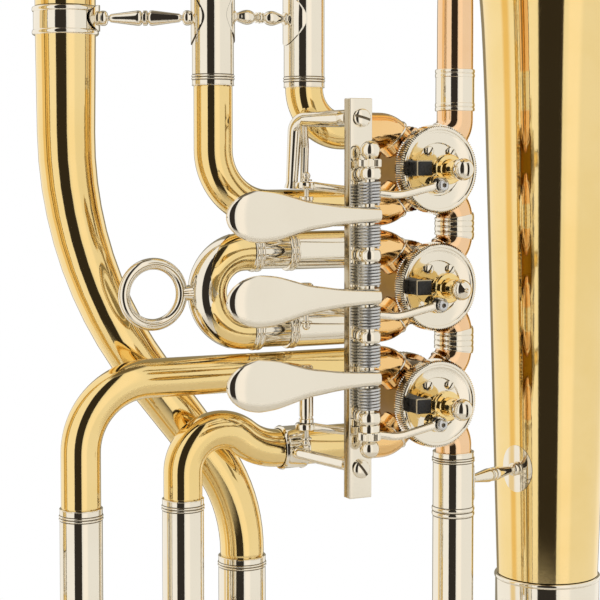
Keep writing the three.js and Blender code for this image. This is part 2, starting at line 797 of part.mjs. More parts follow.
// Second valve slide, with its guard and pull ring
function makeSlide2() {
  for (const [name, sideZ] of [["upper", 1], ["lower", -1]]) {
    const route = makeRoute([[0, 0, 0], corner(-1, sideZ, 0), [slide2SleeveEndX, 0, sideZ * portReach]]);
    const bore = route.length - (slide2SleeveEndX - slide2FerruleX) * 2;
    const leg = sweep(route, [
      ...collarProfile(route.length - beadPitch * 2, tubeRadius),
      ...beads(route.length - beadPitch * 2, tubeRadius),
      [route.length, tubeRadius],
    ]);
    const hollow = sweep(route, [[bore, boreRadius], [route.length + cutOverrun, boreRadius]]);
    place(`slide_2_leg_${name}`, fitToValve(cut(leg, hollow), 0), nickelSilver);
  }
  const low = slide2SleeveEndX + (slide2SleeveEndX - slide2FerruleX) * 1.6;
  const bend = portReach - seatGap / 10;
  const far = slide2BowX - bend;
  const route = makeRoute([
    [low, 0, portReach], [far, 0, portReach, bend], [far, 0, -portReach, bend], [low, 0, -portReach],
  ]);
  const inner = low - slide2SleeveEndX + seatGap;
  const innerRadius = boreRadius - seatGap;
  const ferruleStart = low - slide2FerruleX;
  const last = route.length;
  const bow = sweep(route, [
    [0, innerRadius], [inner, innerRadius], [inner, tubeRadius - seatGap],
    [ferruleStart, tubeRadius - seatGap], [ferruleStart, sleeveRadius],
    [ferruleStart + slide2FerruleLength, sleeveRadius],
    [ferruleStart + slide2FerruleLength, tubeRadius],
    [last - ferruleStart - slide2FerruleLength, tubeRadius],
    [last - ferruleStart - slide2FerruleLength, sleeveRadius],
    [last - ferruleStart, sleeveRadius], [last - ferruleStart, tubeRadius - seatGap],
    [last - inner, tubeRadius - seatGap], [last - inner, innerRadius], [last, innerRadius],
  ]);
  const ring = new THREE.TorusGeometry(pullRingRadius, pullRingWire, 6, 20)
    .rotateX(Math.PI / 2).translate(pullRingX, 0, 0);
  const ringEdge = pullRingX + pullRingRadius;
  const stem = box(far - ringEdge, pullRingWire, pullRingWire * 3, (far + ringEdge) / 2, 0, 0);
  place("slide_2", fuse(bow, ring, stem), yellowBrass);
}
makeSlide2();

// Third valve slide, with the swan neck on its lower tube
function makeSlide3() {
  const { z } = valves[2];
  const upperRoute = makeRoute([
    [0, 0, z], corner(-1, 1, z), [slide3LeftX, 0, z + portReach, slide3LeftBend],
    [slide3LeftX, 0, slide3SleeveTopZ + seatGap],
  ]);
  place("slide_3_upper_tube",
    fitToValve(sweep(upperRoute, collarProfile(upperRoute.length)), z), yellowBrass);
  const lowZ = z - portReach;
  const crestX = slide3RightX + slide3CrestBend;
  const swanAngle = Math.acos(1 - slide3Rise / (slide3CrestBend + slide3SwanBend));
  const swanStart = crestX + (slide3CrestBend + slide3SwanBend) * Math.sin(swanAngle);
  const firstCorner = swanStart - slide3SwanBend * Math.tan(swanAngle / 2);
  const secondCorner = crestX + slide3CrestBend * Math.tan(swanAngle / 2);
  const lowerRoute = makeRoute([
    [0, 0, z], corner(-1, -1, z), [firstCorner, 0, lowZ, slide3SwanBend],
    [secondCorner, 0, lowZ + slide3Rise, slide3CrestBend],
    [slide3RightX, 0, lowZ + slide3Rise, slide3CrestBend - seatGap / 10],
    [slide3RightX, 0, slide3SleeveTopZ + seatGap],
  ]);
  place("slide_3_lower_tube",
    fitToValve(sweep(lowerRoute, collarProfile(lowerRoute.length)), z), yellowBrass);
  for (const [side, x] of [["right", slide3RightX], ["left", slide3LeftX]]) {
    const length = slide3SleeveTopZ - slide3SleeveBottomZ;
    straightSleeve(`slide_3_sleeve_${side}`, [x, 0, slide3SleeveBottomZ],
      [x, 0, slide3SleeveTopZ], sleeveRadius, sleeveBoreRadius,
      [beadPitch / 2, length - beadPitch * 2], beadRadius);
  }
  const bend = bowRadius(slide3RightX, slide3LeftX) - seatGap / 10;
  const top = slide3SleeveTopZ - tubeRadius;
  const low = slide3BowZ - bend;
  const route = makeRoute([
    [slide3RightX, 0, top], [slide3RightX, 0, low, bend],
    [slide3LeftX, 0, low, bend], [slide3LeftX, 0, top],
  ]);
  const inner = top - slide3SleeveBottomZ + seatGap;
  place("slide_3", sweep(route, slideProfile(route, inner)), yellowBrass);
}
makeSlide3();

// Conical main tube: first branch, outer branch with top bow, bottom bow
function makeBranches() {
  const run = Math.abs(branchX - mainLeftX) / Math.tan(branchLean);
  const first = makeRoute([
    [mainLeftX, mainLeftY, mainLeftTopZ + seatGap],
    [mainLeftX, mainLeftY, branchTurnZ, branchFirstBend],
    [branchX, branchY, branchTurnZ + run, branchSecondBend],
    [branchX, branchY, branchJointZ],
  ]);
  const firstCollar = first.length - branchFerruleLength;
  place("first_branch", sweep(first, [
    [0, branchStartRadius], [firstCollar, branchTopRadius],
    [firstCollar, branchTopRadius + ferruleLip], [first.length, branchTopRadius + ferruleLip],
  ]), yellowBrass);

  const outerX = branchX - topBowSpacing;
  const bend = topBowSpacing / 2 - seatGap / 10;
  const outer = makeRoute([
    [branchX, branchY, branchJointZ + seatGap], [branchX, branchY, branchTopZ + bend, bend],
    [outerX, branchY, branchTopZ + bend, bend], [outerX, branchY, outerBottomZ],
  ]);
  place("outer_branch", sweep(outer, [
    [0, branchTopRadius], [outer.length / 3, outerTopRadius], [outer.length, outerBottomRadius],
  ]), yellowBrass);

  const bottom = makeRoute([
    [outerX, branchY, outerBottomZ - seatGap], [outerX, branchY, bottomBowZ, bottomBowBend],
    [bellX, bellY, bottomBowZ, bottomBowBend], [bellX, bellY, bellJointZ - seatGap],
  ]);
  const collarStart = bottom.length - ferruleLength;
  place("bottom_bow", sweep(bottom, [
    [0, outerBottomRadius + ferruleLip], [ferruleLength, outerBottomRadius + ferruleLip],
    [ferruleLength, outerBottomRadius], [collarStart, bottomEndRadius],
    [collarStart, bottomEndRadius + ferruleLip], [bottom.length, bottomEndRadius + ferruleLip],
  ]), yellowBrass);
}
makeBranches();

// Bell: a cone that opens in a flare, given as shares of height and of opening
const flareShares = [
  [0.2, 0.025], [0.4, 0.08], [0.56, 0.155], [0.7, 0.255], [0.82, 0.395],
  [0.91, 0.57], [0.97, 0.78], [1, 1],
];

function bellRadius(z) {
  const share = (z - bellJointZ) / (bellThroatZ - bellJointZ);
  return bottomEndRadius + (bellThroatRadius - bottomEndRadius) * share;
}

function makeBell() {
  const outer = [[bottomEndRadius, bellJointZ], [bellThroatRadius, bellThroatZ]];
  for (const [rise, opening] of flareShares) {
    outer.push([
      bellThroatRadius + (bellRimRadius - bellThroatRadius) * opening,
      bellThroatZ + (bellTopZ - bellThroatZ) * rise,
    ]);
  }
  const inner = outer.map(([radius, z], i) => {
    const [r0, z0] = outer[Math.max(0, i - 1)];
    const [r1, z1] = outer[Math.min(outer.length - 1, i + 1)];
    const length = Math.hypot(r1 - r0, z1 - z0);
    return [radius - bellWall * (z1 - z0) / length, z + bellWall * (r1 - r0) / length];
  });
  inner[0][1] = bellJointZ;
  const [rimX, rimZ] = outer.pop();
  const bead = [
    [rimX, rimZ - bellRimBead], [rimX + bellRimBead, rimZ - bellRimBead / 2],
    [rimX + bellRimBead, rimZ + bellRimBead / 2], [rimX, rimZ + bellRimBead],
    [rimX - bellRimBead * 2, rimZ + bellRimBead],
  ];
  inner.pop();
  const outline = [...outer, ...bead, ...inner.reverse(), outer[0]];
  place("bell", turned(outline, up, vec(bellX, bellY, 0), bellSides), yellowBrass);
}
makeBell();

// Lever rail, hinge rod and springs
const postHeights = [1.5, 0.5, -0.5, -1.5].map((step) => step * postPitch);
const leverHeights = [1, 0, -1].map((step) => step * postPitch);
const rodBore = rodRadius + bearingGap;

function screwHead(x, y, z) {
  return turned([
    [0, -screwHeadHeight], [screwHeadRadius, -screwHeadHeight], [screwHeadRadius, 0],
    [screwHeadRadius * 0.8, screwHeadHeight * 0.7], [0, screwHeadHeight],
  ], front, vec(x, y, z), tubeSides);
}

function makeRail() {
  const plate = box(railWidth, railThickness, railTopZ - railBottomZ,
    railX, railFrontY + railThickness / 2, (railTopZ + railBottomZ) / 2);
  const reach = railFrontY - rodY;
  const posts = postHeights.flatMap((z) => [
    turned([
      [0, -railThickness / 2], [postFootRadius * 0.8, 0], [postFootRadius, reach * 0.15],
      [postFootRadius * 0.9, reach * 0.28], [postFootRadius * 0.6, reach * 0.4], [0, reach],
    ], front, vec(railX, railFrontY, z), pinSides),
    turned(disc(postRingRadius, -postHeight / 2, postHeight / 2), up,
      vec(railX, rodY, z), pinSides),
  ]);
  const screws = [railBraceZ, lowerBraceZ].map((z) => screwHead(railX, railFrontY, z));
  const bore = turned(disc(rodBore, railBottomZ, railTopZ), up, vec(railX, rodY, 0), pinSides);
  place("lever_rail", cut(fuse(plate, ...posts, ...screws), bore), nickelSilver);
}
makeRail();

function makeHingeRod() {
  const ringEnd = postHeights[0] + postHeight / 2 + seatGap;
  const knob = (start) => [
    [rodCollarRadius, start], [rodCollarRadius, start + rodCollarHeight],
    ...arcOutline(rodBallRadius, start + rodCollarHeight + rodBallRadius * 0.87, 5,
      ballNeckAngle, Math.PI / 2),
  ];
  const top = [[rodRadius, ringEnd], ...knob(ringEnd)];
  const bottom = [
    [rodRadius, ringEnd], [rodBarrelRadius, ringEnd],
    [rodBarrelRadius, ringEnd + rodBarrelHeight], ...knob(ringEnd + rodBarrelHeight),
  ].map(([radius, z]) => [radius, -z]).reverse();
  place("hinge_rod", turned([...bottom, ...top], up, vec(railX, rodY, 0), pinSides), nickelSilver);
}
makeHingeRod();

// An unbroken round wire wound about the hinge rod, straight at both ends
function springPoints(low, high) {
  const tail = springWire * 2;
  const points = [vec(springRadius, 0, low)];
  const steps = springCurls * springSteps;
  for (let i = 0; i <= steps; i += 1) {
    const angle = 2 * Math.PI * i / springSteps;
    const z = low + tail + (high - low - tail * 2) * i / steps;
    points.push(vec(springRadius * Math.cos(angle), springRadius * Math.sin(angle), z));
  }
  points.push(vec(springRadius, 0, high));
  return points;
}

function springGap(points) {
  let least = Infinity;
  const curl = points.slice(1, -1);
  for (let i = 0; i < curl.length; i += 1) {
    for (let j = i + springSteps - 2; j < curl.length; j += 1) {
      least = Math.min(least, curl[i].distanceTo(curl[j]) - springWire * 2);
    }
  }
  return least;
}

function wireTube(points, radius, sides) {
  const vertices = [];
  const triangles = [];
  points.forEach((point, i) => {
    const before = points[Math.max(0, i - 1)];
    const after = points[Math.min(points.length - 1, i + 1)];
    const tangent = after.clone().sub(before).normalize();
    const end = i === 0 || i === points.length - 1;
    const along = end ? up.clone() : tangent;
    const outward = vec(point.x, point.y, 0).normalize();
    outward.addScaledVector(along, -outward.dot(along)).normalize();
    const other = along.clone().cross(outward);
    for (let k = 0; k < sides; k += 1) {
      const angle = 2 * Math.PI * k / sides;
      const spot = point.clone().addScaledVector(outward, radius * Math.cos(angle))
        .addScaledVector(other, radius * Math.sin(angle));
      vertices.push(spot.x, spot.y, spot.z);
    }
    for (let k = 0; i > 0 && k < sides; k += 1) {
      const next = (k + 1) % sides;
      const [a, b] = [(i - 1) * sides, i * sides];
      triangles.push(a + k, a + next, b + next, a + k, b + next, b + k);
    }
  });
  const last = (points.length - 1) * sides;
  for (let k = 2; k < sides; k += 1) {
    triangles.push(0, k, k - 1, last, last + k - 1, last + k);
  }
  const geometry = new THREE.BufferGeometry();
  geometry.setAttribute("position", new THREE.Float32BufferAttribute(vertices, 3));
  geometry.setIndex(triangles);
  return geometry;
}

function makeSprings() {
  let number = 1;
  for (const z of leverHeights) {
    for (const side of [1, -1]) {
      const hubEnd = z + side * (hubHeight / 2 + seatGap);
      const postEnd = z + side * ((postPitch - postHeight) / 2 - seatGap);
      const points = springPoints(Math.min(hubEnd, postEnd), Math.max(hubEnd, postEnd));
      if (number === 1) console.log("spring self gap", springGap(points).toFixed(3));
      const wire = wireTube(points, springWire, springSides).translate(railX, rodY, 0);
      place(`spring_${number}`, wire, springSteel);
      number += 1;
    }
  }
}
makeSprings();

// Finger levers: half widths of the touch plate along its length, as shares
const paddleShares = [
  [0, 0.26], [0.25, 0.37], [0.365, 0.465], [0.478, 0.577], [0.58, 0.76], [0.68, 0.93],
  [0.78, 1], [0.88, 0.87], [0.94, 0.66], [0.985, 0.4], [1, 0.12],
];

function makePaddlePlate(z) {
  const sides = pinSides;
  const y = rodY - hubRadius;
  const vertices = [];
  const triangles = [];
  const startX = railX + paddleTailHalfWidth / 3;
  paddleShares.forEach(([along, width], i) => {
    const x = startX - paddleLength * along;
    const half = paddleHalfWidth * width;
    const thick = paddleThickness / 2 * Math.min(1, paddleEdgeShare + width);
    for (let k = 0; k < sides; k += 1) {
      const angle = 2 * Math.PI * k / sides;
      const crown = Math.sin(angle) > 0 ? paddleCrown * 0.5 * width : 0;
      vertices.push(x, y - (thick + crown) * Math.sin(angle), z + half * Math.cos(angle));
    }
    for (let k = 0; i > 0 && k < sides; k += 1) {
      const next = (k + 1) % sides;
      const [a, b] = [(i - 1) * sides, i * sides];
      triangles.push(a + k, a + next, b + next, a + k, b + next, b + k);
    }
  });
  const last = (paddleShares.length - 1) * sides;
  for (let k = 2; k < sides; k += 1) {
    triangles.push(0, k, k - 1, last, last + k - 1, last + k);
  }
  const geometry = new THREE.BufferGeometry();
  geometry.setAttribute("position", new THREE.Float32BufferAttribute(vertices, 3));
  geometry.setIndex(triangles);
  return geometry;
}

const pivots = [
  { z: pivotZ1, side: 1 },
  { z: pivotZ2, side: -1 },
  { z: pivotZ3, side: -1 },
];

function makeLever(number, z) {
  const pivot = pivots[number - 1];
  const { side } = pivot;
  const hub = turned(disc(hubRadius, -hubHeight / 2, hubHeight / 2), up,
    vec(railX, rodY, z), pinSides);
  const armRoute = makeRoute([[armRootX, rodY - hubRadius, z], [armX, armY, z]]);
  const arm = sweep(armRoute, [[0, armThickness / 2], [armRoute.length, armThickness / 2]], null, pinSides);
  const half = pivotEyeHeight / 2;
  const near = Math.abs(pivot.z - z) - half - (side > 0 ? pivotPlay : seatGap);
  const far = Math.abs(pivot.z - z) + half + (side > 0 ? seatGap : pivotPlay);
  const back = number === 2 ? barrelRadius * 1.4 : armThickness / 2;
  const barrel = turned([
    [0, -back], [barrelRadius, -back], [barrelRadius, near], [pivotPinRadius, near],
    [pivotPinRadius, far], [finialRadius * 1.4, far], [finialRadius * 1.4, far + finialRadius / 2],
    ...arcOutline(finialRadius, far + finialRadius * 1.25, 3, ballNeckAngle, Math.PI / 2),
  ], vec(0, 0, side), vec(armX, armY, z), pinSides);
  const bore = turned(disc(rodBore, z - hubHeight, z + hubHeight), up,
    vec(railX, rodY, 0), pinSides);
  place(`finger_lever_${number}`,
    cut(fuse(makePaddlePlate(z), hub, arm, barrel), bore), nickelSilver);
}

function makeLink(number, valveZ) {
  const pivot = pivots[number - 1];
  const pinX = -stopPinOffset;
  const pinZ = valveZ - stopPinOffset;
  const half = linkPinEyeLength / 2;
  const pinEye = turned(disc(linkPinEyeRadius, -eyeMidY - half, -eyeMidY + half),
    front, vec(pinX, 0, pinZ), pinSides);
  const pivotHalf = pivotEyeHeight / 2;
  const eyeSpot = vec(armX, armY + pivotLead, pivot.z);
  const pivotEye = turned(disc(pivotEyeRadius, -pivotHalf, pivotHalf), up, eyeSpot, pinSides);
  const route = makeRoute([
    [pinX, eyeMidY, pinZ], [linkBendX, eyeMidY + linkRadius, pinZ - linkDrop, linkBend],
    [armX, armY + pivotLead, pivot.z],
  ]);
  const rod = sweep(route, [[linkRadius, linkRadius], [route.length - linkRadius, linkRadius]], null, pinSides);
  const pinBore = turned(
    disc(stopPinCoreRadius + bearingGap, -eyeMidY - half - cutOverrun, -eyeMidY + half + cutOverrun),
    front, vec(pinX, 0, pinZ), pinSides);
  const pivotBore = turned(
    disc(pivotPinRadius + pivotGap, -pivotHalf - cutOverrun, pivotHalf + cutOverrun),
    up, eyeSpot, pinSides);
  place(`link_rod_${number}`, cut(fuse(pinEye, pivotEye, rod), pinBore, pivotBore), nickelSilver);
}

leverHeights.forEach((z, i) => makeLever(i + 1, z));
valves.forEach(({ number, z }) => makeLink(number, z));

// Braces that carry the rail and tie the tubes together
function makeUpperRailBrace() {
  const plateBack = railFrontY + railThickness + seatGap;
  const tubeTop = valves[0].z - portReach + tubeRadius + seatGap;
  const footEnd = tubeTop + seatGap;
  const main = makeRoute([
    [railX - railBraceRadius / 2, plateBack, railBraceZ],
    [railX - railBraceRadius / 2, plateBack + railBraceRadius * 2, railBraceZ, railBraceBend / 2],
    [railBraceFootX, railBraceFootY - railBraceRadius, railBraceZ, railBraceBend],
    [railBraceFootX, railBraceFootY, footEnd],
  ]);
  const forkRadius = railBraceRadius / 2;
  const fork = makeRoute([
    [railBraceFootX + forkRadius, railBraceFootY - railBraceRadius * 2, railBraceZ - forkRadius],
    [railBraceForkX, railBraceFootY - forkRadius, railBraceZ - railBraceRadius * 3, railBraceBend / 2],
    [railBraceForkX, railBraceFootY - forkRadius / 2, footEnd],
  ]);
  place("upper_rail_brace", fuse(
    sweep(main, [[0, railBraceRadius], [main.length, railBraceRadius * 0.7]], null, pinSides),
    sweep(fork, [[0, forkRadius], [fork.length, forkRadius]], null, pinSides),
  ), nickelSilver);
}

function makeLowerRailBrace() {
  const z = valves[2].z - portReach;
  const plateBack = railFrontY + railThickness + seatGap;
  const half = lowerSaddleLength / 2;
  const saddle = turned(disc(lowerSaddleRadius, -half, half), vec(1, 0, 0),
    vec(lowerSaddleX, 0, z), turnedSides);
  const bore = turned(disc(tubeRadius + seatGap, -half - cutOverrun, half + cutOverrun),
    vec(1, 0, 0), vec(lowerSaddleX, 0, z), turnedSides);
  const route = makeRoute([
    [railX - lowerBraceRadius / 2, plateBack, lowerBraceZ],
    [railX - lowerBraceRadius / 2, plateBack + lowerBraceRadius * 2, lowerBraceZ, railBraceBend / 2],
    [lowerBraceFootX, -lowerSaddleRadius - lowerBraceRadius, lowerBraceFootZ, railBraceBend / 2],
    [lowerBraceFootX, 0, z],
  ]);
  const rod = sweep(route, [[0, lowerBraceRadius],
    [route.length - tubeRadius, lowerBraceRadius]], null, pinSides);
  place("lower_rail_brace", cut(fuse(saddle, rod), bore), nickelSilver);
}
makeUpperRailBrace();
makeLowerRailBrace();

// A turned brace between two upright tubes, with a curved plate soldered on each
function saddlePlate(centre, direction, radius) {
  const depth = bracePlateThickness * 3;
  const plate = new THREE.BoxGeometry(depth, bracePlateWidth, bracePlateLength)
    .translate(radius + seatGap * 2 + bracePlateThickness - depth / 2, 0, 0);
  plate.rotateZ(Math.atan2(direction.y, direction.x));
  plate.translate(centre.x, centre.y, centre.z);
  const around = (radius + seatGap) / Math.cos(Math.PI / turnedSides);
  const tube = turned(disc(around, -bracePlateLength, bracePlateLength), up, centre, turnedSides);
  return cut(plate, tube);
}

function makeBrace(name, one, oneRadius, two, twoRadius) {
  const direction = two.clone().sub(one).normalize();
  const low = oneRadius + seatGap + bracePlateThickness / 2;
  const high = one.distanceTo(two) - twoRadius - seatGap - bracePlateThickness / 2;
  const at = (share) => low + (high - low) * share;
  const post = turned([
    [0, low], [braceRadius, low], [braceRadius * 0.7, at(0.1)],
    [braceRadius * 1.35, at(0.28)], [braceRadius * 0.7, at(0.33)],
    [braceBallRadius, at(0.43)], [braceBallRadius, at(0.57)], [braceRadius * 0.7, at(0.67)],
    [braceRadius * 1.35, at(0.72)], [braceRadius * 0.7, at(0.9)], [braceRadius, high], [0, high],
  ], direction, one, pinSides);
  place(name, fuse(post, saddlePlate(one, direction, oneRadius),
    saddlePlate(two, direction.clone().negate(), twoRadius)), nickelSilver);
}

makeBrace("slide_1_brace", vec(slide1LeftX, 0, slide1BraceZ), sleeveRadius,
  vec(slide1RightX, 0, slide1BraceZ), sleeveRadius);
makeBrace("left_brace", vec(slide1LeftX, 0, leftBraceZ), sleeveRadius,
  vec(branchX, branchY, leftBraceZ), branchTopRadius + ferruleLip);
makeBrace("right_brace", vec(mainX, 0, rightBraceZ), mainSleeveRadius,
  vec(bellX, bellY, rightBraceZ), bellRadius(rightBraceZ));

export default horn;
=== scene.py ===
"""Alto horn: the visual model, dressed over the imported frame."""
import logging
import math
from contextlib import contextmanager
from dataclasses import dataclass, field
from enum import Enum
from typing import Callable, Iterator, Optional, Sequence, Union

import bpy
from mathutils import Matrix, Vector


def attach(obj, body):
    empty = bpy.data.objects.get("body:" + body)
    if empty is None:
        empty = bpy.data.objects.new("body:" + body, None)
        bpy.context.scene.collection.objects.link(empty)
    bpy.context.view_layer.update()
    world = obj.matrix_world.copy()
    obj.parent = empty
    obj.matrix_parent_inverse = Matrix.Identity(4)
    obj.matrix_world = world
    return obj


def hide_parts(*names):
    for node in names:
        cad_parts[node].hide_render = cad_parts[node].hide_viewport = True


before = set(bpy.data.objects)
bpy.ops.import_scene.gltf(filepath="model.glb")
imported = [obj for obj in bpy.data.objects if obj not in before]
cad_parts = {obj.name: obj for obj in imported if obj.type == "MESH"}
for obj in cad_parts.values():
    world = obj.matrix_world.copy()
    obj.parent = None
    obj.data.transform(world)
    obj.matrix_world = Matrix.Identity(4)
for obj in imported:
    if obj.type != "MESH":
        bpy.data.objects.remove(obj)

LOG = logging.getLogger("alto_horn")
MM = 0.001
Piece = bpy.types.Object
Point = tuple[float, float, float]
Pair = tuple[float, float]

FRONT = Vector((0, -1, 0))
BACK = Vector((0, 1, 0))
UP = Vector((0, 0, 1))
RIGHT = Vector((1, 0, 0))


# Materials

class Socket:
    """A shader value that takes part in Python arithmetic."""

    def __init__(self, shader: "ShaderSheet", output: bpy.types.NodeSocket) -> None:
        """Keeps the sheet and the output that the value comes from."""
        self.shader = shader
        self.output = output

    def maths(self, operation: str, other: "Value" = 0.0) -> "Socket":
        """Adds one Math node on this value and another."""
        return self.shader.node("ShaderNodeMath", {"operation": operation}, {0: self, 1: other})

    def __add__(self, other: "Value") -> "Socket":
        """Sum."""
        return self.maths("ADD", other)

    __radd__ = __add__

    def __sub__(self, other: "Value") -> "Socket":
        """Difference."""
        return self.maths("SUBTRACT", other)

    def __mul__(self, other: "Value") -> "Socket":
        """Product."""
        return self.maths("MULTIPLY", other)

    def arctan2(self, other: "Value") -> "Socket":
        """Angle of this value over another."""
        return self.maths("ARCTAN2", other)

    def absolute(self) -> "Socket":
        """Absolute value."""
        return self.maths("ABSOLUTE")

    def step(self, low: float, high: float, start: float = 0.0, end: float = 1.0) -> "Socket":
        """A smooth step.

        Args:
            low: Value where the step begins.
            high: Value where the step ends.
            start: Result below low.
            end: Result above high.

        Returns:
            The stepped value.
        """
        return self.shader.node("ShaderNodeMapRange", {"interpolation_type": "SMOOTHSTEP"}, {
            "Value": self, "From Min": low, "From Max": high, "To Min": start, "To Max": end})


Value = Union[Socket, float, Sequence[float]]


class ShaderSheet:
    """A node tree that is filled from Python expressions."""

    def __init__(self, tree: bpy.types.NodeTree) -> None:
        """Empties the tree."""
        self.tree = tree
        tree.nodes.clear()

    def node(self, kind: str, settings: Optional[dict] = None,
             inputs: Optional[dict] = None, output: Union[int, str] = 0) -> Socket:
        """Adds one node.

        Args:
            kind: Node type.
            settings: Properties of the node.
            inputs: Values or links of its sockets.
            output: Output that the caller wants.

        Returns:
            The wanted output.
        """
        made = self.tree.nodes.new(kind)
        for name, value in (settings or {}).items():
            setattr(made, name, value)
        for name, value in (inputs or {}).items():
            if isinstance(value, Socket):
                self.tree.links.new(value.output, made.inputs[name])
            else:
                made.inputs[name].default_value = value
        return Socket(self, made.outputs[output] if made.outputs else None)

    def blend(self, share: Value, one: Value, two: Value) -> Socket:
        """Mixes two colours, each given as red, green and blue or as a socket.

        Args:
            share: Share of the second colour.
            one: First colour.
            two: Second colour.

        Returns:
            The mixed colour.
        """
        one, two = (ink if isinstance(ink, Socket) else (*ink, 1.0) for ink in (one, two))
        return self.node("ShaderNodeMix", {"data_type": "RGBA"}, {0: share, 6: one, 7: two}, 2)

    def noise(self, place: Socket, scale: float, detail: float, roughness: float) -> Socket:
        """Noise over a place."""
        return self.node("ShaderNodeTexNoise", inputs={
            "Vector": place, "Scale": scale, "Detail": detail, "Roughness": roughness})


def new_material(name: str) -> tuple[bpy.types.Material, ShaderSheet]:
    """An empty node-based material and its sheet.

    Args:
        name: Name of the material.

    Returns:
        The material and the sheet of its nodes.
    """
    material = bpy.data.materials.new(name)
    material.use_nodes = True
    return material, ShaderSheet(material.node_tree)


@dataclass(frozen=True)
class Metal:
    """A polished metal with the faint marks of buffing and handling."""

    slot: str
    colour: Point
    tint: Point
    roughness: float
    lacquer: float = 0.0
    haze: float = 0.05
    ripple: float = 0.00002

    def build(self) -> bpy.types.Material:
        """Makes the material on Object coordinates.

        Returns:
            The material.
        """
        material, sheet = new_material(f"horn_{self.slot}")
        place = sheet.node("ShaderNodeTexCoord", output="Object")
        tone = sheet.blend(sheet.noise(place, 22.0, 4.0, 0.6).step(0.35, 0.7), self.colour, self.tint)
        rough = self.roughness + sheet.noise(place, 140.0, 5.0, 0.7).step(0.5, 0.8) * self.haze
        bump = sheet.node("ShaderNodeBump", inputs={
            "Strength": 0.25, "Distance": self.ripple, "Height": sheet.noise(place, 900.0, 3.0, 0.65)})
        shader = sheet.node("ShaderNodeBsdfPrincipled", inputs={
            "Base Color": tone, "Metallic": 1.0, "Roughness": rough, "Normal": bump,
            "Coat Weight": self.lacquer, "Coat Roughness": 0.04})
        sheet.node("ShaderNodeOutputMaterial", inputs={"Surface": shader})
        return material


@dataclass(frozen=True)
class Rubber:
    """The dull black of the stop corks, which has no slot in the record."""

    colour: Point
    tint: Point
    roughness: float
    slot: Optional[str] = None

    def build(self) -> bpy.types.Material:
        """Makes the material on Object coordinates.

        Returns:
            The material.
        """
        material, sheet = new_material("horn_stop_cork")
        grain = sheet.noise(sheet.node("ShaderNodeTexCoord", output="Object"), 1500.0, 4.0, 0.7)
        shader = sheet.node("ShaderNodeBsdfPrincipled", inputs={
            "Base Color": sheet.blend(grain.step(0.4, 0.65), self.colour, self.tint),
            "Roughness": self.roughness})
        sheet.node("ShaderNodeOutputMaterial", inputs={"Surface": shader})
        return material


class Finish(Enum):
    """The finishes that the horn is made in, and copies of them with painted shade, painted highlight
    and painted reflection.
    """

    YELLOW_BRASS = Metal("yellow_brass", (0.93, 0.72, 0.34), (0.90, 0.68, 0.29), 0.06, 0.3)
    # Painted shade: a darker copy of yellow brass for the valve casings, which sit sunk between the
    # caps.
    CASING_BRASS = Metal("yellow_brass", (0.27, 0.135, 0.010), (0.17, 0.08, 0.004), 0.12)
    GOLD_BRASS = Metal("gold_brass", (0.94, 0.65, 0.40), (0.91, 0.60, 0.34), 0.07, 0.3)
    # Painted reflection: a more orange copy of gold brass for the slides' elbows, standing for the
    # light that bounces between the tubes.
    WARM_BRASS = Metal("gold_brass", (0.98, 0.66, 0.31), (0.95, 0.61, 0.25), 0.07, 0.3)
    NICKEL_SILVER = Metal("nickel_silver", (0.885, 0.835, 0.73), (0.86, 0.805, 0.695), 0.05)
    # Painted shade: a dark nickel for slot floors, hex recesses, knurl grooves, the corners beside
    # beads and the edges of brace plates.
    TARNISH = Metal("nickel_silver", (0.16, 0.13, 0.09), (0.10, 0.08, 0.06), 0.35)
    # Painted shade and painted highlight: a dimmed nickel for the shaded left side of the rail and for
    # the thin frame that shows as a light edge round the black stop cork.
    WORN_EDGE = Metal("nickel_silver", (0.50, 0.42, 0.28), (0.40, 0.33, 0.22), 0.16)
    SPRING_STEEL = Metal("spring_steel", (0.68, 0.69, 0.70), (0.58, 0.59, 0.61), 0.32)
    SILVER_PLATE = Metal("silver_plate", (0.90, 0.89, 0.86), (0.87, 0.86, 0.82), 0.06)
    CORK = Rubber((0.012, 0.012, 0.013), (0.03, 0.03, 0.032), 0.55)


class Paint:
    """Builds each finish once and hands it out."""

    def __init__(self) -> None:
        """Starts with no material built."""
        self.built: dict[Finish, bpy.types.Material] = {}

    def material(self, finish: Finish) -> bpy.types.Material:
        """The material of a finish, built the first time that it is asked for.

        Args:
            finish: The finish.

        Returns:
            Its material.
        """
        if finish not in self.built:
            self.built[finish] = finish.value.build()
        return self.built[finish]

    def coat(self, piece: Piece, finish: Finish) -> None:
        """Gives a piece a finish.

        Args:
            piece: The piece.
            finish: Its finish.
        """
        piece.data.materials.clear()
        piece.data.materials.append(self.material(finish))


PAINT = Paint()


# Routes of the tubes. A profile is a list of (distance, radius) pairs along a route.

BEND_STEP = math.radians(4)


@dataclass(frozen=True)
class Run:
    """One run of a route: straight, or a bend towards a side."""

    at: float
    start: Vector
    ahead: Vector
    length: float
    bend: float = 0.0
    angle: float = 0.0
    side: Optional[Vector] = None


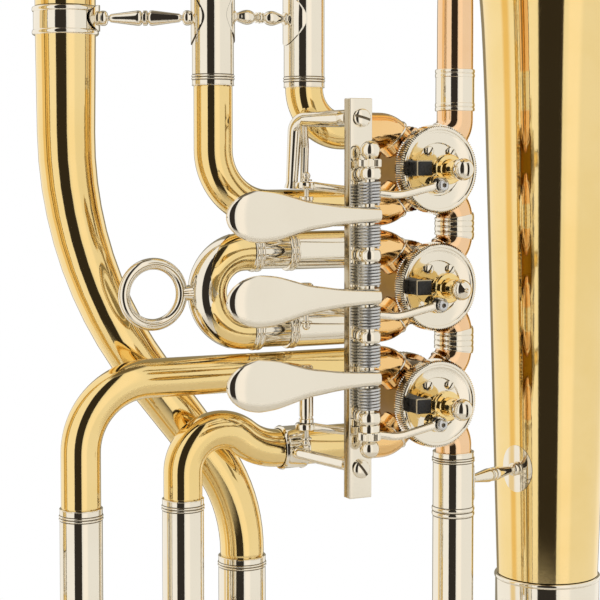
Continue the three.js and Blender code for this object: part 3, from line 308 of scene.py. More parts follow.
class Route:
    """Straight runs joined by bends, from corners (x, y, z) or (x, y, z, bend radius)."""

    def __init__(self, *corners: Sequence[float]) -> None:
        """Works out the runs and the bends.

        Args:
            corners: Corner points in millimetres, with the bend radius where it turns.
        """
        points = [Vector(corner[:3]) for corner in corners]
        self.runs: list[Run] = []
        start, travelled = points[0], 0.0
        for i in range(1, len(points)):
            ahead = (points[i] - points[i - 1]).normalized()
            last = i == len(points) - 1
            turned = ahead if last else (points[i + 1] - points[i]).normalized()
            angle = ahead.angle(turned)
            bend = corners[i][3] if len(corners[i]) > 3 and not last else 0.0
            setback = bend * math.tan(angle / 2)
            end = points[i] - ahead * setback
            length = (end - start).dot(ahead)
            self.runs.append(Run(travelled, start, ahead, length))
            travelled += length
            if bend > 0:
                side = (turned - ahead * math.cos(angle)).normalized()
                self.runs.append(Run(travelled, end, ahead, bend * angle, bend, angle, side))
                travelled += bend * angle
            start = points[i] + turned * setback
        self.length = travelled

    def at(self, distance: float) -> Vector:
        """Point at a distance along the route.

        Args:
            distance: Distance from the start in millimetres.

        Returns:
            The point, in millimetres.
        """
        run = next((run for run in reversed(self.runs)
                    if run.length > 0 and run.at <= distance + 1e-9), self.runs[0])
        along = distance - run.at
        if run.bend == 0:
            return run.start + run.ahead * along
        angle = along / run.bend
        return (run.start + run.ahead * (run.bend * math.sin(angle))
                + run.side * (run.bend * (1 - math.cos(angle))))

    def stops(self, low: float, high: float) -> list[float]:
        """Distances between two others where a tube needs a station.

        Args:
            low: Least distance.
            high: Greatest distance.

        Returns:
            The distances.
        """
        found = []
        for run in self.runs:
            count = max(1, math.ceil(run.angle / BEND_STEP))
            found += [run.at + run.length * k / count for k in range(count + 1)]
        return [stop for stop in found if low + 0.05 < stop < high - 0.05]


def radius_at(profile: Sequence[Pair], distance: float) -> float:
    """Radius of a profile at a distance.

    Args:
        profile: (distance, radius) pairs in millimetres.
        distance: Distance along the route.

    Returns:
        The radius there.
    """
    for (s0, r0), (s1, r1) in zip(profile, profile[1:]):
        if s0 <= distance <= s1 and s1 > s0:
            return r0 + (r1 - r0) * (distance - s0) / (s1 - s0)
    return profile[-1][1] if distance > profile[-1][0] else profile[0][1]


def stations(route: Route, profile: Sequence[Pair]) -> list[Pair]:
    """A profile with the route's own stops between its pairs.

    Args:
        route: Centre line.
        profile: The profile.

    Returns:
        The longer profile, in order.
    """
    extra = [(stop, radius_at(profile, stop)) for stop in route.stops(profile[0][0], profile[-1][0])
             if all(abs(stop - pair[0]) > 0.05 for pair in profile)]
    return sorted([*profile, *extra], key=lambda pair: pair[0])


def mirror(profile: Sequence[Pair], length: float) -> list[Pair]:
    """A profile seen from the other end of a route."""
    return [(length - distance, radius) for distance, radius in reversed(profile)]


def bead(start: float, base: float, crest: float, width: float = 1.4) -> list[Pair]:
    """Profile of a half-round bead.

    Args:
        start: Distance at which it starts.
        base: Radius beside it.
        crest: Radius of its crest.
        width: Its width.

    Returns:
        The profile.
    """
    steps = 8
    return [(start + width * (1 - math.cos(math.pi * k / steps)) / 2,
             base + (crest - base) * math.sin(math.pi * k / steps)) for k in range(steps + 1)]


def band(low: float, high: float, base: float, radius: float, edge: float = 0.35) -> list[Pair]:
    """Profile of a ferrule with softened edges.

    Args:
        low: Distance at which it starts.
        high: Distance at which it ends.
        base: Radius of the tube under it.
        radius: Outer radius.
        edge: Width of each softened edge.

    Returns:
        The profile.
    """
    return [(low, base), (low + 0.02, radius - edge), (low + edge * 0.3, radius - edge * 0.3),
            (low + edge, radius), (high - edge, radius), (high - edge * 0.3, radius - edge * 0.3),
            (high - 0.02, radius - edge), (high, base)]


def garland(low: float, high: float, base: float, radius: float) -> list[Pair]:
    """Profile of a wide ferrule with a bead at each edge.

    Args:
        low: Distance at which it starts.
        high: Distance at which it ends.
        base: Radius of the tube under it.
        radius: Outer radius.

    Returns:
        The profile.
    """
    return [(low, base), (low + 0.02, radius - 0.5), *bead(low + 0.1, radius - 0.5, radius, 1.8),
            (low + 2.2, radius - 0.45), (high - 2.2, radius - 0.45),
            *bead(high - 1.9, radius - 0.5, radius, 1.8), (high, base)]


# Outlines of turned pieces, as (radius, height) pairs

def arc(radius: float, centre: float, low: float, high: float, steps: int) -> list[Pair]:
    """An arc of an outline round a point on the axis.

    Args:
        radius: Radius of the arc.
        centre: Height of its centre.
        low: Start angle in degrees from the equator.
        high: End angle in degrees.
        steps: Number of steps.

    Returns:
        The pairs.
    """
    angles = [math.radians(low + (high - low) * k / steps) for k in range(steps + 1)]
    return [(max(0.0, radius * math.cos(angle)), centre + radius * math.sin(angle)) for angle in angles]


def dome(radius: float, foot: float, top: float) -> list[Pair]:
    """A dome on a rim, without the rim's own pair."""
    angles = [math.radians(90 * k / 8) for k in range(1, 9)]
    return [(radius * math.cos(angle), foot + (top - foot) * math.sin(angle)) for angle in angles]


def cylinder(radius: float, low: float, high: float, inner: float = 0.0) -> list[Pair]:
    """A plain cylinder, closed only where it is hollow."""
    wall = [(inner, low), (radius, low), (radius, high), (inner, high)]
    return [*wall, wall[0]] if inner else wall


def smooth_through(points: Sequence[Pair], steps: int) -> list[Pair]:
    """Points on a smooth line through others.

    Args:
        points: Points that the line passes through.
        steps: Steps between two points.

    Returns:
        All the points along the line.
    """
    found = []
    count = len(points)
    for i in range(count - 1):
        knots = [points[max(0, i - 1)], points[i], points[i + 1], points[min(count - 1, i + 2)]]
        for k in range(steps):
            t = k / steps
            found.append(tuple(
                0.5 * (2 * p1 + (p2 - p0) * t + (2 * p0 - 5 * p1 + 4 * p2 - p3) * t * t
                       + (3 * p1 - p0 - 3 * p2 + p3) * t ** 3)
                for p0, p1, p2, p3 in zip(*knots)))
    return [*found, points[-1]]


# Modelling tools

def deselect_all() -> None:
    """Leaves object mode with nothing selected."""
    if bpy.context.object and bpy.context.object.mode != "OBJECT":
        bpy.ops.object.mode_set(mode="OBJECT")
    bpy.ops.object.select_all(action="DESELECT")


def select_only(piece: Piece) -> None:
    """Selects one piece and makes it active.

    Args:
        piece: The piece.
    """
    deselect_all()
    piece.select_set(True)
    bpy.context.view_layer.objects.active = piece


def smooth(piece: Piece, degrees: float = 32.0) -> None:
    """Shades a piece smooth, with sharp edges past an angle."""
    select_only(piece)
    bpy.ops.object.shade_smooth_by_angle(angle=math.radians(degrees))


@contextmanager
def editing() -> Iterator[None]:
    """Edit mode with all of the active mesh selected, and object mode again after it.

    Returns:
        A context for the modelling steps.
    """
    bpy.ops.object.mode_set(mode="EDIT")
    bpy.ops.mesh.select_all(action="SELECT")
    yield
    bpy.ops.object.mode_set(mode="OBJECT")


def face_outwards() -> None:
    """Turns all normals of the mesh in edit mode outwards."""
    bpy.ops.mesh.select_all(action="SELECT")
    bpy.ops.mesh.normals_make_consistent(inside=False)


def draw_line(name: str, points: Sequence[Vector], closed: bool = False) -> Piece:
    """Draws a polyline curve through points.

    Args:
        name: Name of the new object.
        points: Points in millimetres.
        closed: Whether the line is a loop.

    Returns:
        The curve, selected and active.
    """
    deselect_all()
    bpy.ops.curve.primitive_nurbs_path_add(location=(0, 0, 0))
    piece = bpy.context.object
    piece.name = name
    curve = piece.data
    curve.dimensions = "3D"
    curve.splines.clear()
    spline = curve.splines.new("POLY")
    spline.points.add(len(points) - 1)
    for knot, point in zip(spline.points, points):
        knot.co = (*(point * MM), 1.0)
    spline.use_cyclic_u = closed
    return piece


def to_mesh() -> Piece:
    """Turns the active curve into a mesh."""
    bpy.ops.object.convert(target="MESH")
    return bpy.context.object


def thicken(piece: Piece, radii: Sequence[float], sides: int) -> Piece:
    """Gives a drawn line its round section and turns it into a mesh.

    Args:
        piece: The drawn line.
        radii: Radius at each point in millimetres.
        sides: Number of sides of the section.

    Returns:
        The finished tube.
    """
    curve = piece.data
    curve.twist_mode = "MINIMUM"
    for knot, radius in zip(curve.splines[0].points, radii):
        knot.radius = radius
    curve.bevel_depth = MM
    curve.bevel_resolution = (sides - 4) // 2
    curve.use_fill_caps = True
    return to_mesh()


def tube(name: str, route: Route, profile: Sequence[Pair], sides: int = 48) -> Piece:
    """A round tube along a route.

    Args:
        name: Name of the new object.
        route: Centre line.
        profile: (distance, radius) pairs in millimetres.
        sides: Number of sides of the section.

    Returns:
        The tube, shaded smooth.
    """
    rings = stations(route, profile)
    piece = thicken(draw_line(name, [route.at(s) for s, _ in rings]), [r for _, r in rings], sides)
    smooth(piece)
    return piece


def side_of(axis: Vector) -> Vector:
    """A unit vector square to an axis."""
    return axis.cross(RIGHT if abs(axis.x) < 0.9 else UP).normalized()


def turn(name: str, outline: Sequence[Pair], axis: Vector, origin: Vector, steps: int = 48) -> Piece:
    """Turns an outline round an axis, as on a lathe.

    Args:
        name: Name of the new object.
        outline: (radius, height) pairs in millimetres.
        axis: Direction of the axis.
        origin: Point on the axis where the height is nothing.
        steps: Number of steps round the axis.

    Returns:
        The turned piece, shaded smooth.
    """
    axis = axis.normalized()
    side = side_of(axis)
    draw_line(name, [origin + side * radius + axis * height for radius, height in outline])
    piece = to_mesh()
    with editing():
        bpy.ops.mesh.spin(steps=steps, angle=math.tau, center=origin * MM, axis=axis)
        bpy.ops.mesh.select_all(action="SELECT")
        bpy.ops.mesh.remove_doubles(threshold=2e-6)
        face_outwards()
    smooth(piece)
    return piece


def block(name: str, low: Point, high: Point, edge: float = 0.02) -> Piece:
    """A block between two corners with its edges bevelled.

    Args:
        name: Name of the new object.
        low: Lowest corner in millimetres.
        high: Highest corner in millimetres.
        edge: Width of the bevel.

    Returns:
        The block.
    """
    deselect_all()
    bpy.ops.mesh.primitive_cube_add(size=MM)
    piece = bpy.context.object
    piece.name = name
    lowest, highest = Vector(low), Vector(high)
    with editing():
        bpy.ops.transform.resize(value=highest - lowest, center_override=(0, 0, 0))
        bpy.ops.transform.translate(value=(highest + lowest) / 2 * MM)
        bpy.ops.mesh.bevel(offset=edge * MM, segments=3, affect="EDGES")
    smooth(piece)
    return piece


def prism(name: str, points: Sequence[Vector], depth: float) -> Piece:
    """A prism backwards from an outline.

    Args:
        name: Name of the new object.
        points: Outline at its front, in millimetres.
        depth: Depth of the prism.

    Returns:
        The prism.
    """
    draw_line(name, points, closed=True)
    piece = to_mesh()
    with editing():
        bpy.ops.mesh.edge_face_add()
        bpy.ops.mesh.extrude_region_move(TRANSFORM_OT_translate={"value": (0, depth * MM, 0)})
        face_outwards()
    return piece


def cut(piece: Piece, other: Piece, operation: str = "DIFFERENCE") -> None:
    """Cuts a piece with another, which is then gone.

    Args:
        piece: The piece that stays.
        other: The cutter.
        operation: Kind of Boolean operation.
    """
    select_only(piece)
    modifier = piece.modifiers.new("cut", "BOOLEAN")
    modifier.operation = operation
    modifier.object = other
    modifier.solver = "EXACT"
    bpy.ops.object.modifier_apply(modifier=modifier.name)
    bpy.data.objects.remove(other)
    smooth(piece)


def move(piece: Piece, to: Vector, angle: float = 0.0) -> None:
    """Turns a piece's mesh about Y through the origin, then moves it, in millimetres."""
    piece.data.transform(Matrix.Translation(to * MM) @ Matrix.Rotation(angle, 4, BACK))


def knurl(piece: Piece, axis: Vector, centre: Vector, radius: float,
          low: float, high: float, depth: float) -> None:
    """Presses grooves into every second edge column of a turned rim.

    Args:
        piece: The turned piece.
        axis: Its axis, a unit vector.
        centre: A point on the axis in millimetres.
        radius: Least radius of the points that are pressed in.
        low: Lowest height of the rim.
        high: Highest height of the rim.
        depth: Depth of the grooves.
    """
    first = side_of(axis)
    second = axis.cross(first)
    found = []
    for vertex in piece.data.vertices:
        reach = vertex.co / MM - centre
        height = reach.dot(axis)
        across = reach - axis * height
        if across.length >= radius and low <= height <= high:
            angle = math.atan2(across.dot(second), across.dot(first)) % math.tau
            found.append((vertex, across, round(angle, 3) % round(math.tau, 3)))
    column = {angle: i for i, angle in enumerate(sorted({angle for _, _, angle in found}))}
    for vertex, across, angle in found:
        if column[angle] % 2:
            vertex.co -= across.normalized() * depth * MM
    smooth(piece, 20)


def paint_shade(piece: Piece, chosen: Callable[[Vector, Vector], bool]) -> None:
    """Paints shade on some faces of a placed piece, as in the corners beside a bead.

    Args:
        piece: The piece, already in its finish.
        chosen: Says from a face's middle in millimetres and its normal whether it gets the painted
            shade.
    """
    piece.data.materials.append(PAINT.material(Finish.TARNISH))
    for face in piece.data.polygons:
        if chosen(face.center / MM, face.normal):
            face.material_index = 1


@dataclass(frozen=True)
class Part:
    """Places pieces that ride on one body and stand for one CAD node.

    A piece's name is the node's name and a word of its own.
    """

    node: str
    body: str = "horn"

    def place(self, piece: Piece, finish: Finish = Finish.NICKEL_SILVER) -> Piece:
        """Coats a finished piece and places it.

        Args:
            piece: The finished piece.
            finish: Its finish.

        Returns:
            The piece.
        """
        PAINT.coat(piece, finish)
        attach(piece, self.body)
        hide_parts(self.node)
        LOG.info("placed %s on %s", piece.name, self.body)
        return piece

    def tube(self, word: str, route: Route, profile: Sequence[Pair],
             finish: Finish = Finish.NICKEL_SILVER, sides: int = 48) -> Piece:
        """Places a tube; the arguments are those of tube and place."""
        return self.place(tube(f"{self.node}_{word}", route, profile, sides), finish)

    def turn(self, word: str, outline: Sequence[Pair], axis: Vector, origin: Vector,
             steps: int = 48, finish: Finish = Finish.NICKEL_SILVER) -> Piece:
        """Places a turned piece; the arguments are those of turn and place."""
        return self.place(turn(f"{self.node}_{word}", outline, axis, origin, steps), finish)


# Sizes and pieces that several sub-assemblies share, in millimetres

@dataclass(frozen=True)
class Bench:
    """Common sizes of the horn."""

    pitch: float = 43.1
    casing: float = 14.2
    tube: float = 6.8
    ferrule: float = 7.3
    port: float = 14.0
    main_x: float = 15.3
    port_bend: float = 8.0
    rail_x: float = -43.0
    rod_y: float = -40.5
    post_pitch: float = 27.8
    arm_x: float = -52.8
    arm_y: float = -11.5
    pin: float = 8 / math.sqrt(2)
    eye_y: float = -24.3

    def height(self, number: int) -> float:
        """Height of a valve's centre."""
        return self.pitch * (2 - number)

    def lever_height(self, number: int) -> float:
        """Height of a finger lever's hub."""
        return self.post_pitch * (2 - number)

    def corner(self, side_z: int, z: float) -> tuple:
        """First corner of a slide tube, which leaves a valve to the left."""
        return (-self.port, 0.0, z + side_z * self.port, self.port_bend)

    def main_corner(self, side_z: int, z: float) -> tuple:
        """First corner of the main way, which leaves a valve to the right."""
        return (self.main_x, 0.0, z + side_z * self.main_x, self.port_bend)


BENCH = Bench()
ELBOW_START = BENCH.casing - 1.2
COLLAR_START = BENCH.casing + 2.5
CORNER = 0.26


def collar(part: Part, word: str, route: Route, low: float) -> None:
    """A thin nickel ring round a tube near its valve, from a distance on."""
    part.tube(word, route, [(low, BENCH.tube), (low + 0.05, 7.15), (low + 0.2, 7.25),
                            (low + 0.5, 7.25), (low + 0.65, 7.15), (low + 0.7, BENCH.tube)])


def elbow(part: Part, route: Route, end: float, finish: Finish = Finish.GOLD_BRASS) -> None:
    """The elbow beside a valve and its collar at the casing.

    Args:
        part: Part that the pieces belong to.
        route: Centre line that starts on the valve's axis.
        end: Distance at which the elbow ends.
        finish: Finish of the elbow.
    """
    part.tube("elbow", route, [(ELBOW_START, BENCH.tube), (end, BENCH.tube)], finish)
    collar(part, "collar", route, COLLAR_START)


def sleeve(node: str, base: Vector, length: float, outer: float, inner: float, crest: float,
           middle: Sequence[Pair] = (), lip: float = 0.0) -> None:
    """Places an upright outer sleeve with pairs of beads and painted shade in the corners beside them.

    Args:
        node: CAD node that it stands for.
        base: Middle of its lower end in millimetres.
        length: Length of the sleeve.
        outer: Outer radius.
        inner: Bore radius.
        crest: Radius of the beads' crests.
        middle: Height and width of the beads of a pair between those at the ends.
        lip: Radius of the hole at the upper end, where it is tighter than the bore.
    """
    rim, hole = outer + 0.1, lip or inner
    beads = [(2.1, 0.7), *middle, (length - 3.9, 0.7)]
    outline = [(inner, 0.0), (outer, 0.0), (rim, 0.1), (rim, 0.3), (outer, 0.4)]
    for start, width in beads:
        pitch = width + CORNER
        pair = [*bead(start, outer, crest, width), *bead(start + pitch, outer, crest, width)]
        outline += [(outer, start - CORNER), *((radius, height) for height, radius in pair),
                    (outer, start + 2 * pitch)]
    outline += [(outer, length - 0.4), (rim, length - 0.3), (rim, length - 0.1), (outer, length),
                (hole, length), (hole, length - 0.7), (inner, length - 0.75), (inner, 0.0)]
    # Heights of the faces that get painted shade in the corners beside the beads.
    dark = [base.z + start + (width + CORNER) * k - CORNER / 2
            for start, width in beads for k in range(3)]
    paint_shade(Part(node).turn("tube", outline, UP, base, 72),
            lambda centre, normal: any(abs(centre.z - height) < CORNER / 4 for height in dark))


def slot_cut(part: Part, head: Piece, word: str, centre: Vector, half: Point,
             angle: float = 0.0) -> None:
    """Cuts a screwdriver slot into a head that looks forward, with a dark block on its floor as painted
    shade.

    Args:
        part: Part that the head belongs to.
        head: The head.
        word: Word of the dark block, painted shade on the slot's floor.
        centre: Middle of the slot's floor in millimetres.
        half: Half width, depth and half length of the slot.
        angle: Turn of the slot about the view axis.
    """
    width, depth, reach = half
    cutter = block("cutter", (-width, -depth - 1, -reach - 3), (width, 0, reach + 3))
    # The floor block is painted shade in the bottom of the slot.
    floor = block(f"{part.node}_{word}", (-width, -0.14, -reach), (width, 0.14, reach))
    for piece in (cutter, floor):
        move(piece, centre, angle)
    cut(head, cutter)
    part.place(floor, Finish.TARNISH)


class Drive(Enum):
    """How a screw head is driven."""

    SLOTTED = "slotted"
    HEX = "hex"


def screw(part: Part, word: str, centre: Vector, radius: float, rise: float,
          finish: Finish = Finish.NICKEL_SILVER, drive: Drive = Drive.SLOTTED,
          angle: float = 0.0) -> None:
    """A domed screw head that looks forward.

    Args:
        part: Part that the screw belongs to.
        word: Word of the screw.
        centre: Centre of the seat in millimetres.
        radius: Radius of the head.
        rise: Height of the head.
        finish: Finish of the head.
        drive: How it is driven.
        angle: Turn of the slot about the axis, in degrees.
    """
    rim = rise * 0.35
    outline = [(0, -0.4), (radius, -0.4), (radius, rim), *dome(radius, rim, rise)]
    head = turn(f"{part.node}_{word}", outline, FRONT, centre, 40)
    if drive is Drive.SLOTTED:
        depth = rise * 0.5
        slot_cut(part, head, f"{word}_slot", centre + FRONT * (rise - depth),
                 (radius * 0.14, depth, radius * 0.92), math.radians(angle))
    else:
        low = rise * 0.3
        cut(head, turn("cutter", cylinder(radius * 0.46, low, rise + 1), FRONT, centre, 6))
        # A dark disc at the bottom of the hex recess, painted shade.
        well = cylinder(radius * 0.4, low, low + 0.15)
        part.turn(f"{word}_well", well, FRONT, centre, 6, Finish.TARNISH)
    part.place(head, finish)


@dataclass
class Valve:
    """A rotary valve: casing, caps and the stop arm on the rotor's spindle."""

    number: int
    cap: float = 16.35
    cap_back: float = 11.5
    cap_wall: float = 14.5
    face: float = 15.0
    skirt: float = 9.6
    teeth: int = 120
    disc: float = 5.5
    boss: float = 3.5
    nut_foot: float = 29.2
    nut_rim: float = 4.0
    tip: float = 34.5

    @property
    def centre(self) -> Vector:
        """Centre of the valve."""
        return Vector((0, 0, BENCH.height(self.number)))

    def build(self) -> None:
        """Makes and dresses the valve's pieces."""
        wall = [(12.6, -11.2), (14.0, -11.2), (14.2, -11.0), (14.2, 11.0), (14.0, 11.2),
                (12.6, 11.2), (12.6, -11.2)]
        # The casing is in the darker brass, painted shade.
        Part(f"valve_casing_{self.number}").turn(
            "shell", wall, FRONT, self.centre, 96, Finish.CASING_BRASS)
        self.front_cap()
        self.rear_cap()
        self.stop_arm()
        PAINT.coat(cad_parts[f"rotor_{self.number}"], Finish.YELLOW_BRASS)

    def front_cap(self) -> None:
        """The knurled front cap: stepped, dished face, two screws and the stop cork."""
        part = Part(f"front_cap_{self.number}")
        face, rim, back, wall = self.face, self.cap, self.cap_back, self.cap_wall
        outline = [
            (2.7, back), (wall, back), (wall, self.skirt), (rim - 0.3, self.skirt),
            (rim, self.skirt + 0.35), (rim, face - 1.0), (rim - 0.3, face - 0.6),
            (rim - 0.75, face - 0.2), (rim - 1.2, face), (rim - 1.75, face), (rim - 2.0, face - 0.15),
            (rim - 2.1, face - 0.45), (rim - 2.5, face - 0.5),
            *((rim - 2.7 - 3.9 * k / 8, face - 0.5 - 1.0 * (k / 8) ** 0.7) for k in range(9)),
            (9.55, face - 1.75), (9.4, face - 2.3), (9.0, face - 2.4),
            *((8.6 - 4.4 * k / 5, face - 2.4 - 0.35 * k / 5) for k in range(6)),
            (3.0, face - 2.8), (2.7, face - 3.0), (2.7, back)]
        cap = turn(f"{part.node}_shell", outline, FRONT, self.centre, 2 * self.teeth)
        knurl(cap, FRONT, self.centre, rim - 0.35, self.skirt - 0.1, face - 0.5, 0.75)
        knurl(cap, FRONT, self.centre, rim - 0.8, face - 0.3, face - 0.1, 0.3)
        part.place(cap)
        # A dark ring under the knurl, painted shade that shows in the valleys of the teeth and the
        # chamfer.
        low, floor, chamfer = self.skirt + 0.25, rim - 0.48, face - 0.36
        shade = [(14.7, low), (floor, low), (floor, face - 0.9), (rim - 0.84, chamfer),
                 (14.7, chamfer), (14.7, low)]
        part.turn("grooves", shade, FRONT, self.centre, 96, Finish.TARNISH)
        for i, (angle, radius) in enumerate(((117, 7.4), (48, 8.6)), 1):
            turned = math.radians(angle)
            seat = Vector((radius * math.cos(turned), -(face - 2.5), radius * math.sin(turned)))
            screw(part, f"screw_{i}", self.centre + seat, 1.9, 1.5, angle=35)
        # The frame in dimmed nickel round the black cork shows as a light edge, a painted highlight.
        for word, low_end, high_end, edge, finish in (
            ("cork", (-12.3, -20.3, -2.3), (-6.35, -12.4, 2.9), 0.5, Finish.CORK),
            ("cork_frame", (-12.65, -20.0, -2.35), (-6.3, -19.65, 3.25), 0.12, Finish.WORN_EDGE),
        ):
            piece = block(f"{part.node}_{word}", low_end, high_end, edge)
            move(piece, self.centre)
            part.place(piece, finish)

    def rear_cap(self) -> None:
        """The rear cap with its bearing boss."""
        part = Part(f"rear_cap_{self.number}")
        face, rim, back, wall = self.face, self.cap, self.cap_back, self.cap_wall
        outline = [
            (0, back), (wall, back), (wall, self.skirt), (rim - 0.3, self.skirt),
            (rim, self.skirt + 0.35), (rim, face - 0.6), (rim - 0.5, face), (rim - 2.2, face),
            (rim - 2.7, face - 0.6), (6.4, face - 0.9), (5.2, face - 0.8), (5.0, face),
            (4.6, face + 0.3), (0, face + 0.4)]
        cap = turn(f"{part.node}_shell", outline, BACK, self.centre, 144)
        knurl(cap, BACK, self.centre, rim - 0.1, self.skirt + 0.2, face - 0.5, 0.3)
        part.place(cap)

    def stop_arm(self) -> None:
        """The stop disc with its boss, the domed or pointed nut and the link's screw."""
        part = Part(f"stop_arm_{self.number}", f"rotor_{self.number}")
        centre, brass, edge = self.centre, Finish.YELLOW_BRASS, 0.35
        part.turn("hub", [
            (0, 18.5), (self.disc - edge, 18.5), (self.disc, 18.5 + edge), (self.disc, 21.5 - edge),
            (self.disc - edge, 21.5), (self.boss + 0.3, 21.6), (self.boss, 21.9), (self.boss, 27.5),
            (self.boss - 0.4, 28.0), (2.6, 28.1), (2.6, 29.6), (0, 29.6)], FRONT, centre, 72, brass)
        web = block(f"{part.node}_web", (0.5, -21.3, -2.6), (9.6, -18.7, 2.6), 0.6)
        move(web, centre, math.radians(-225))
        part.place(web, brass)
        pin = centre + Vector((-BENCH.pin, 0, -BENCH.pin))
        part.turn("boss", [(0, 18.6), (2.9, 18.6), (3.2, 18.9), (3.2, 22.1), (2.9, 22.4), (1.0, 22.4),
                           (1.0, 26.4), (0, 26.4)], FRONT, pin, finish=brass)
        screw(part, "pin_screw", pin + FRONT * 26.4, 2.05, 1.1, Finish.SPRING_STEEL, Drive.HEX)
        foot, rim = self.nut_foot, self.nut_rim
        if self.number == 2:
            part.turn("nut", [
                (0, foot), (2.9, foot), (3.5, foot + 0.4), (3.8, foot + 1.1), (3.5, foot + 2.1),
                (2.6, foot + 3.1), (1.5, foot + 3.9), (0.85, foot + 4.3), (0.7, foot + 4.8),
                (0.35, self.tip), (0, self.tip)], FRONT, centre)
            return
        nut = turn(f"{part.node}_nut", [
            (0, foot), (3.2, foot), (3.7, foot + 0.3), (rim, foot + 0.8), (rim, foot + 1.6),
            *dome(rim, foot + 1.6, self.tip)], FRONT, centre, 56)
        slot_cut(part, nut, "nut_slot", centre + FRONT * (self.tip - 0.8), (0.42, 0.8, 2.3))
        part.place(nut)


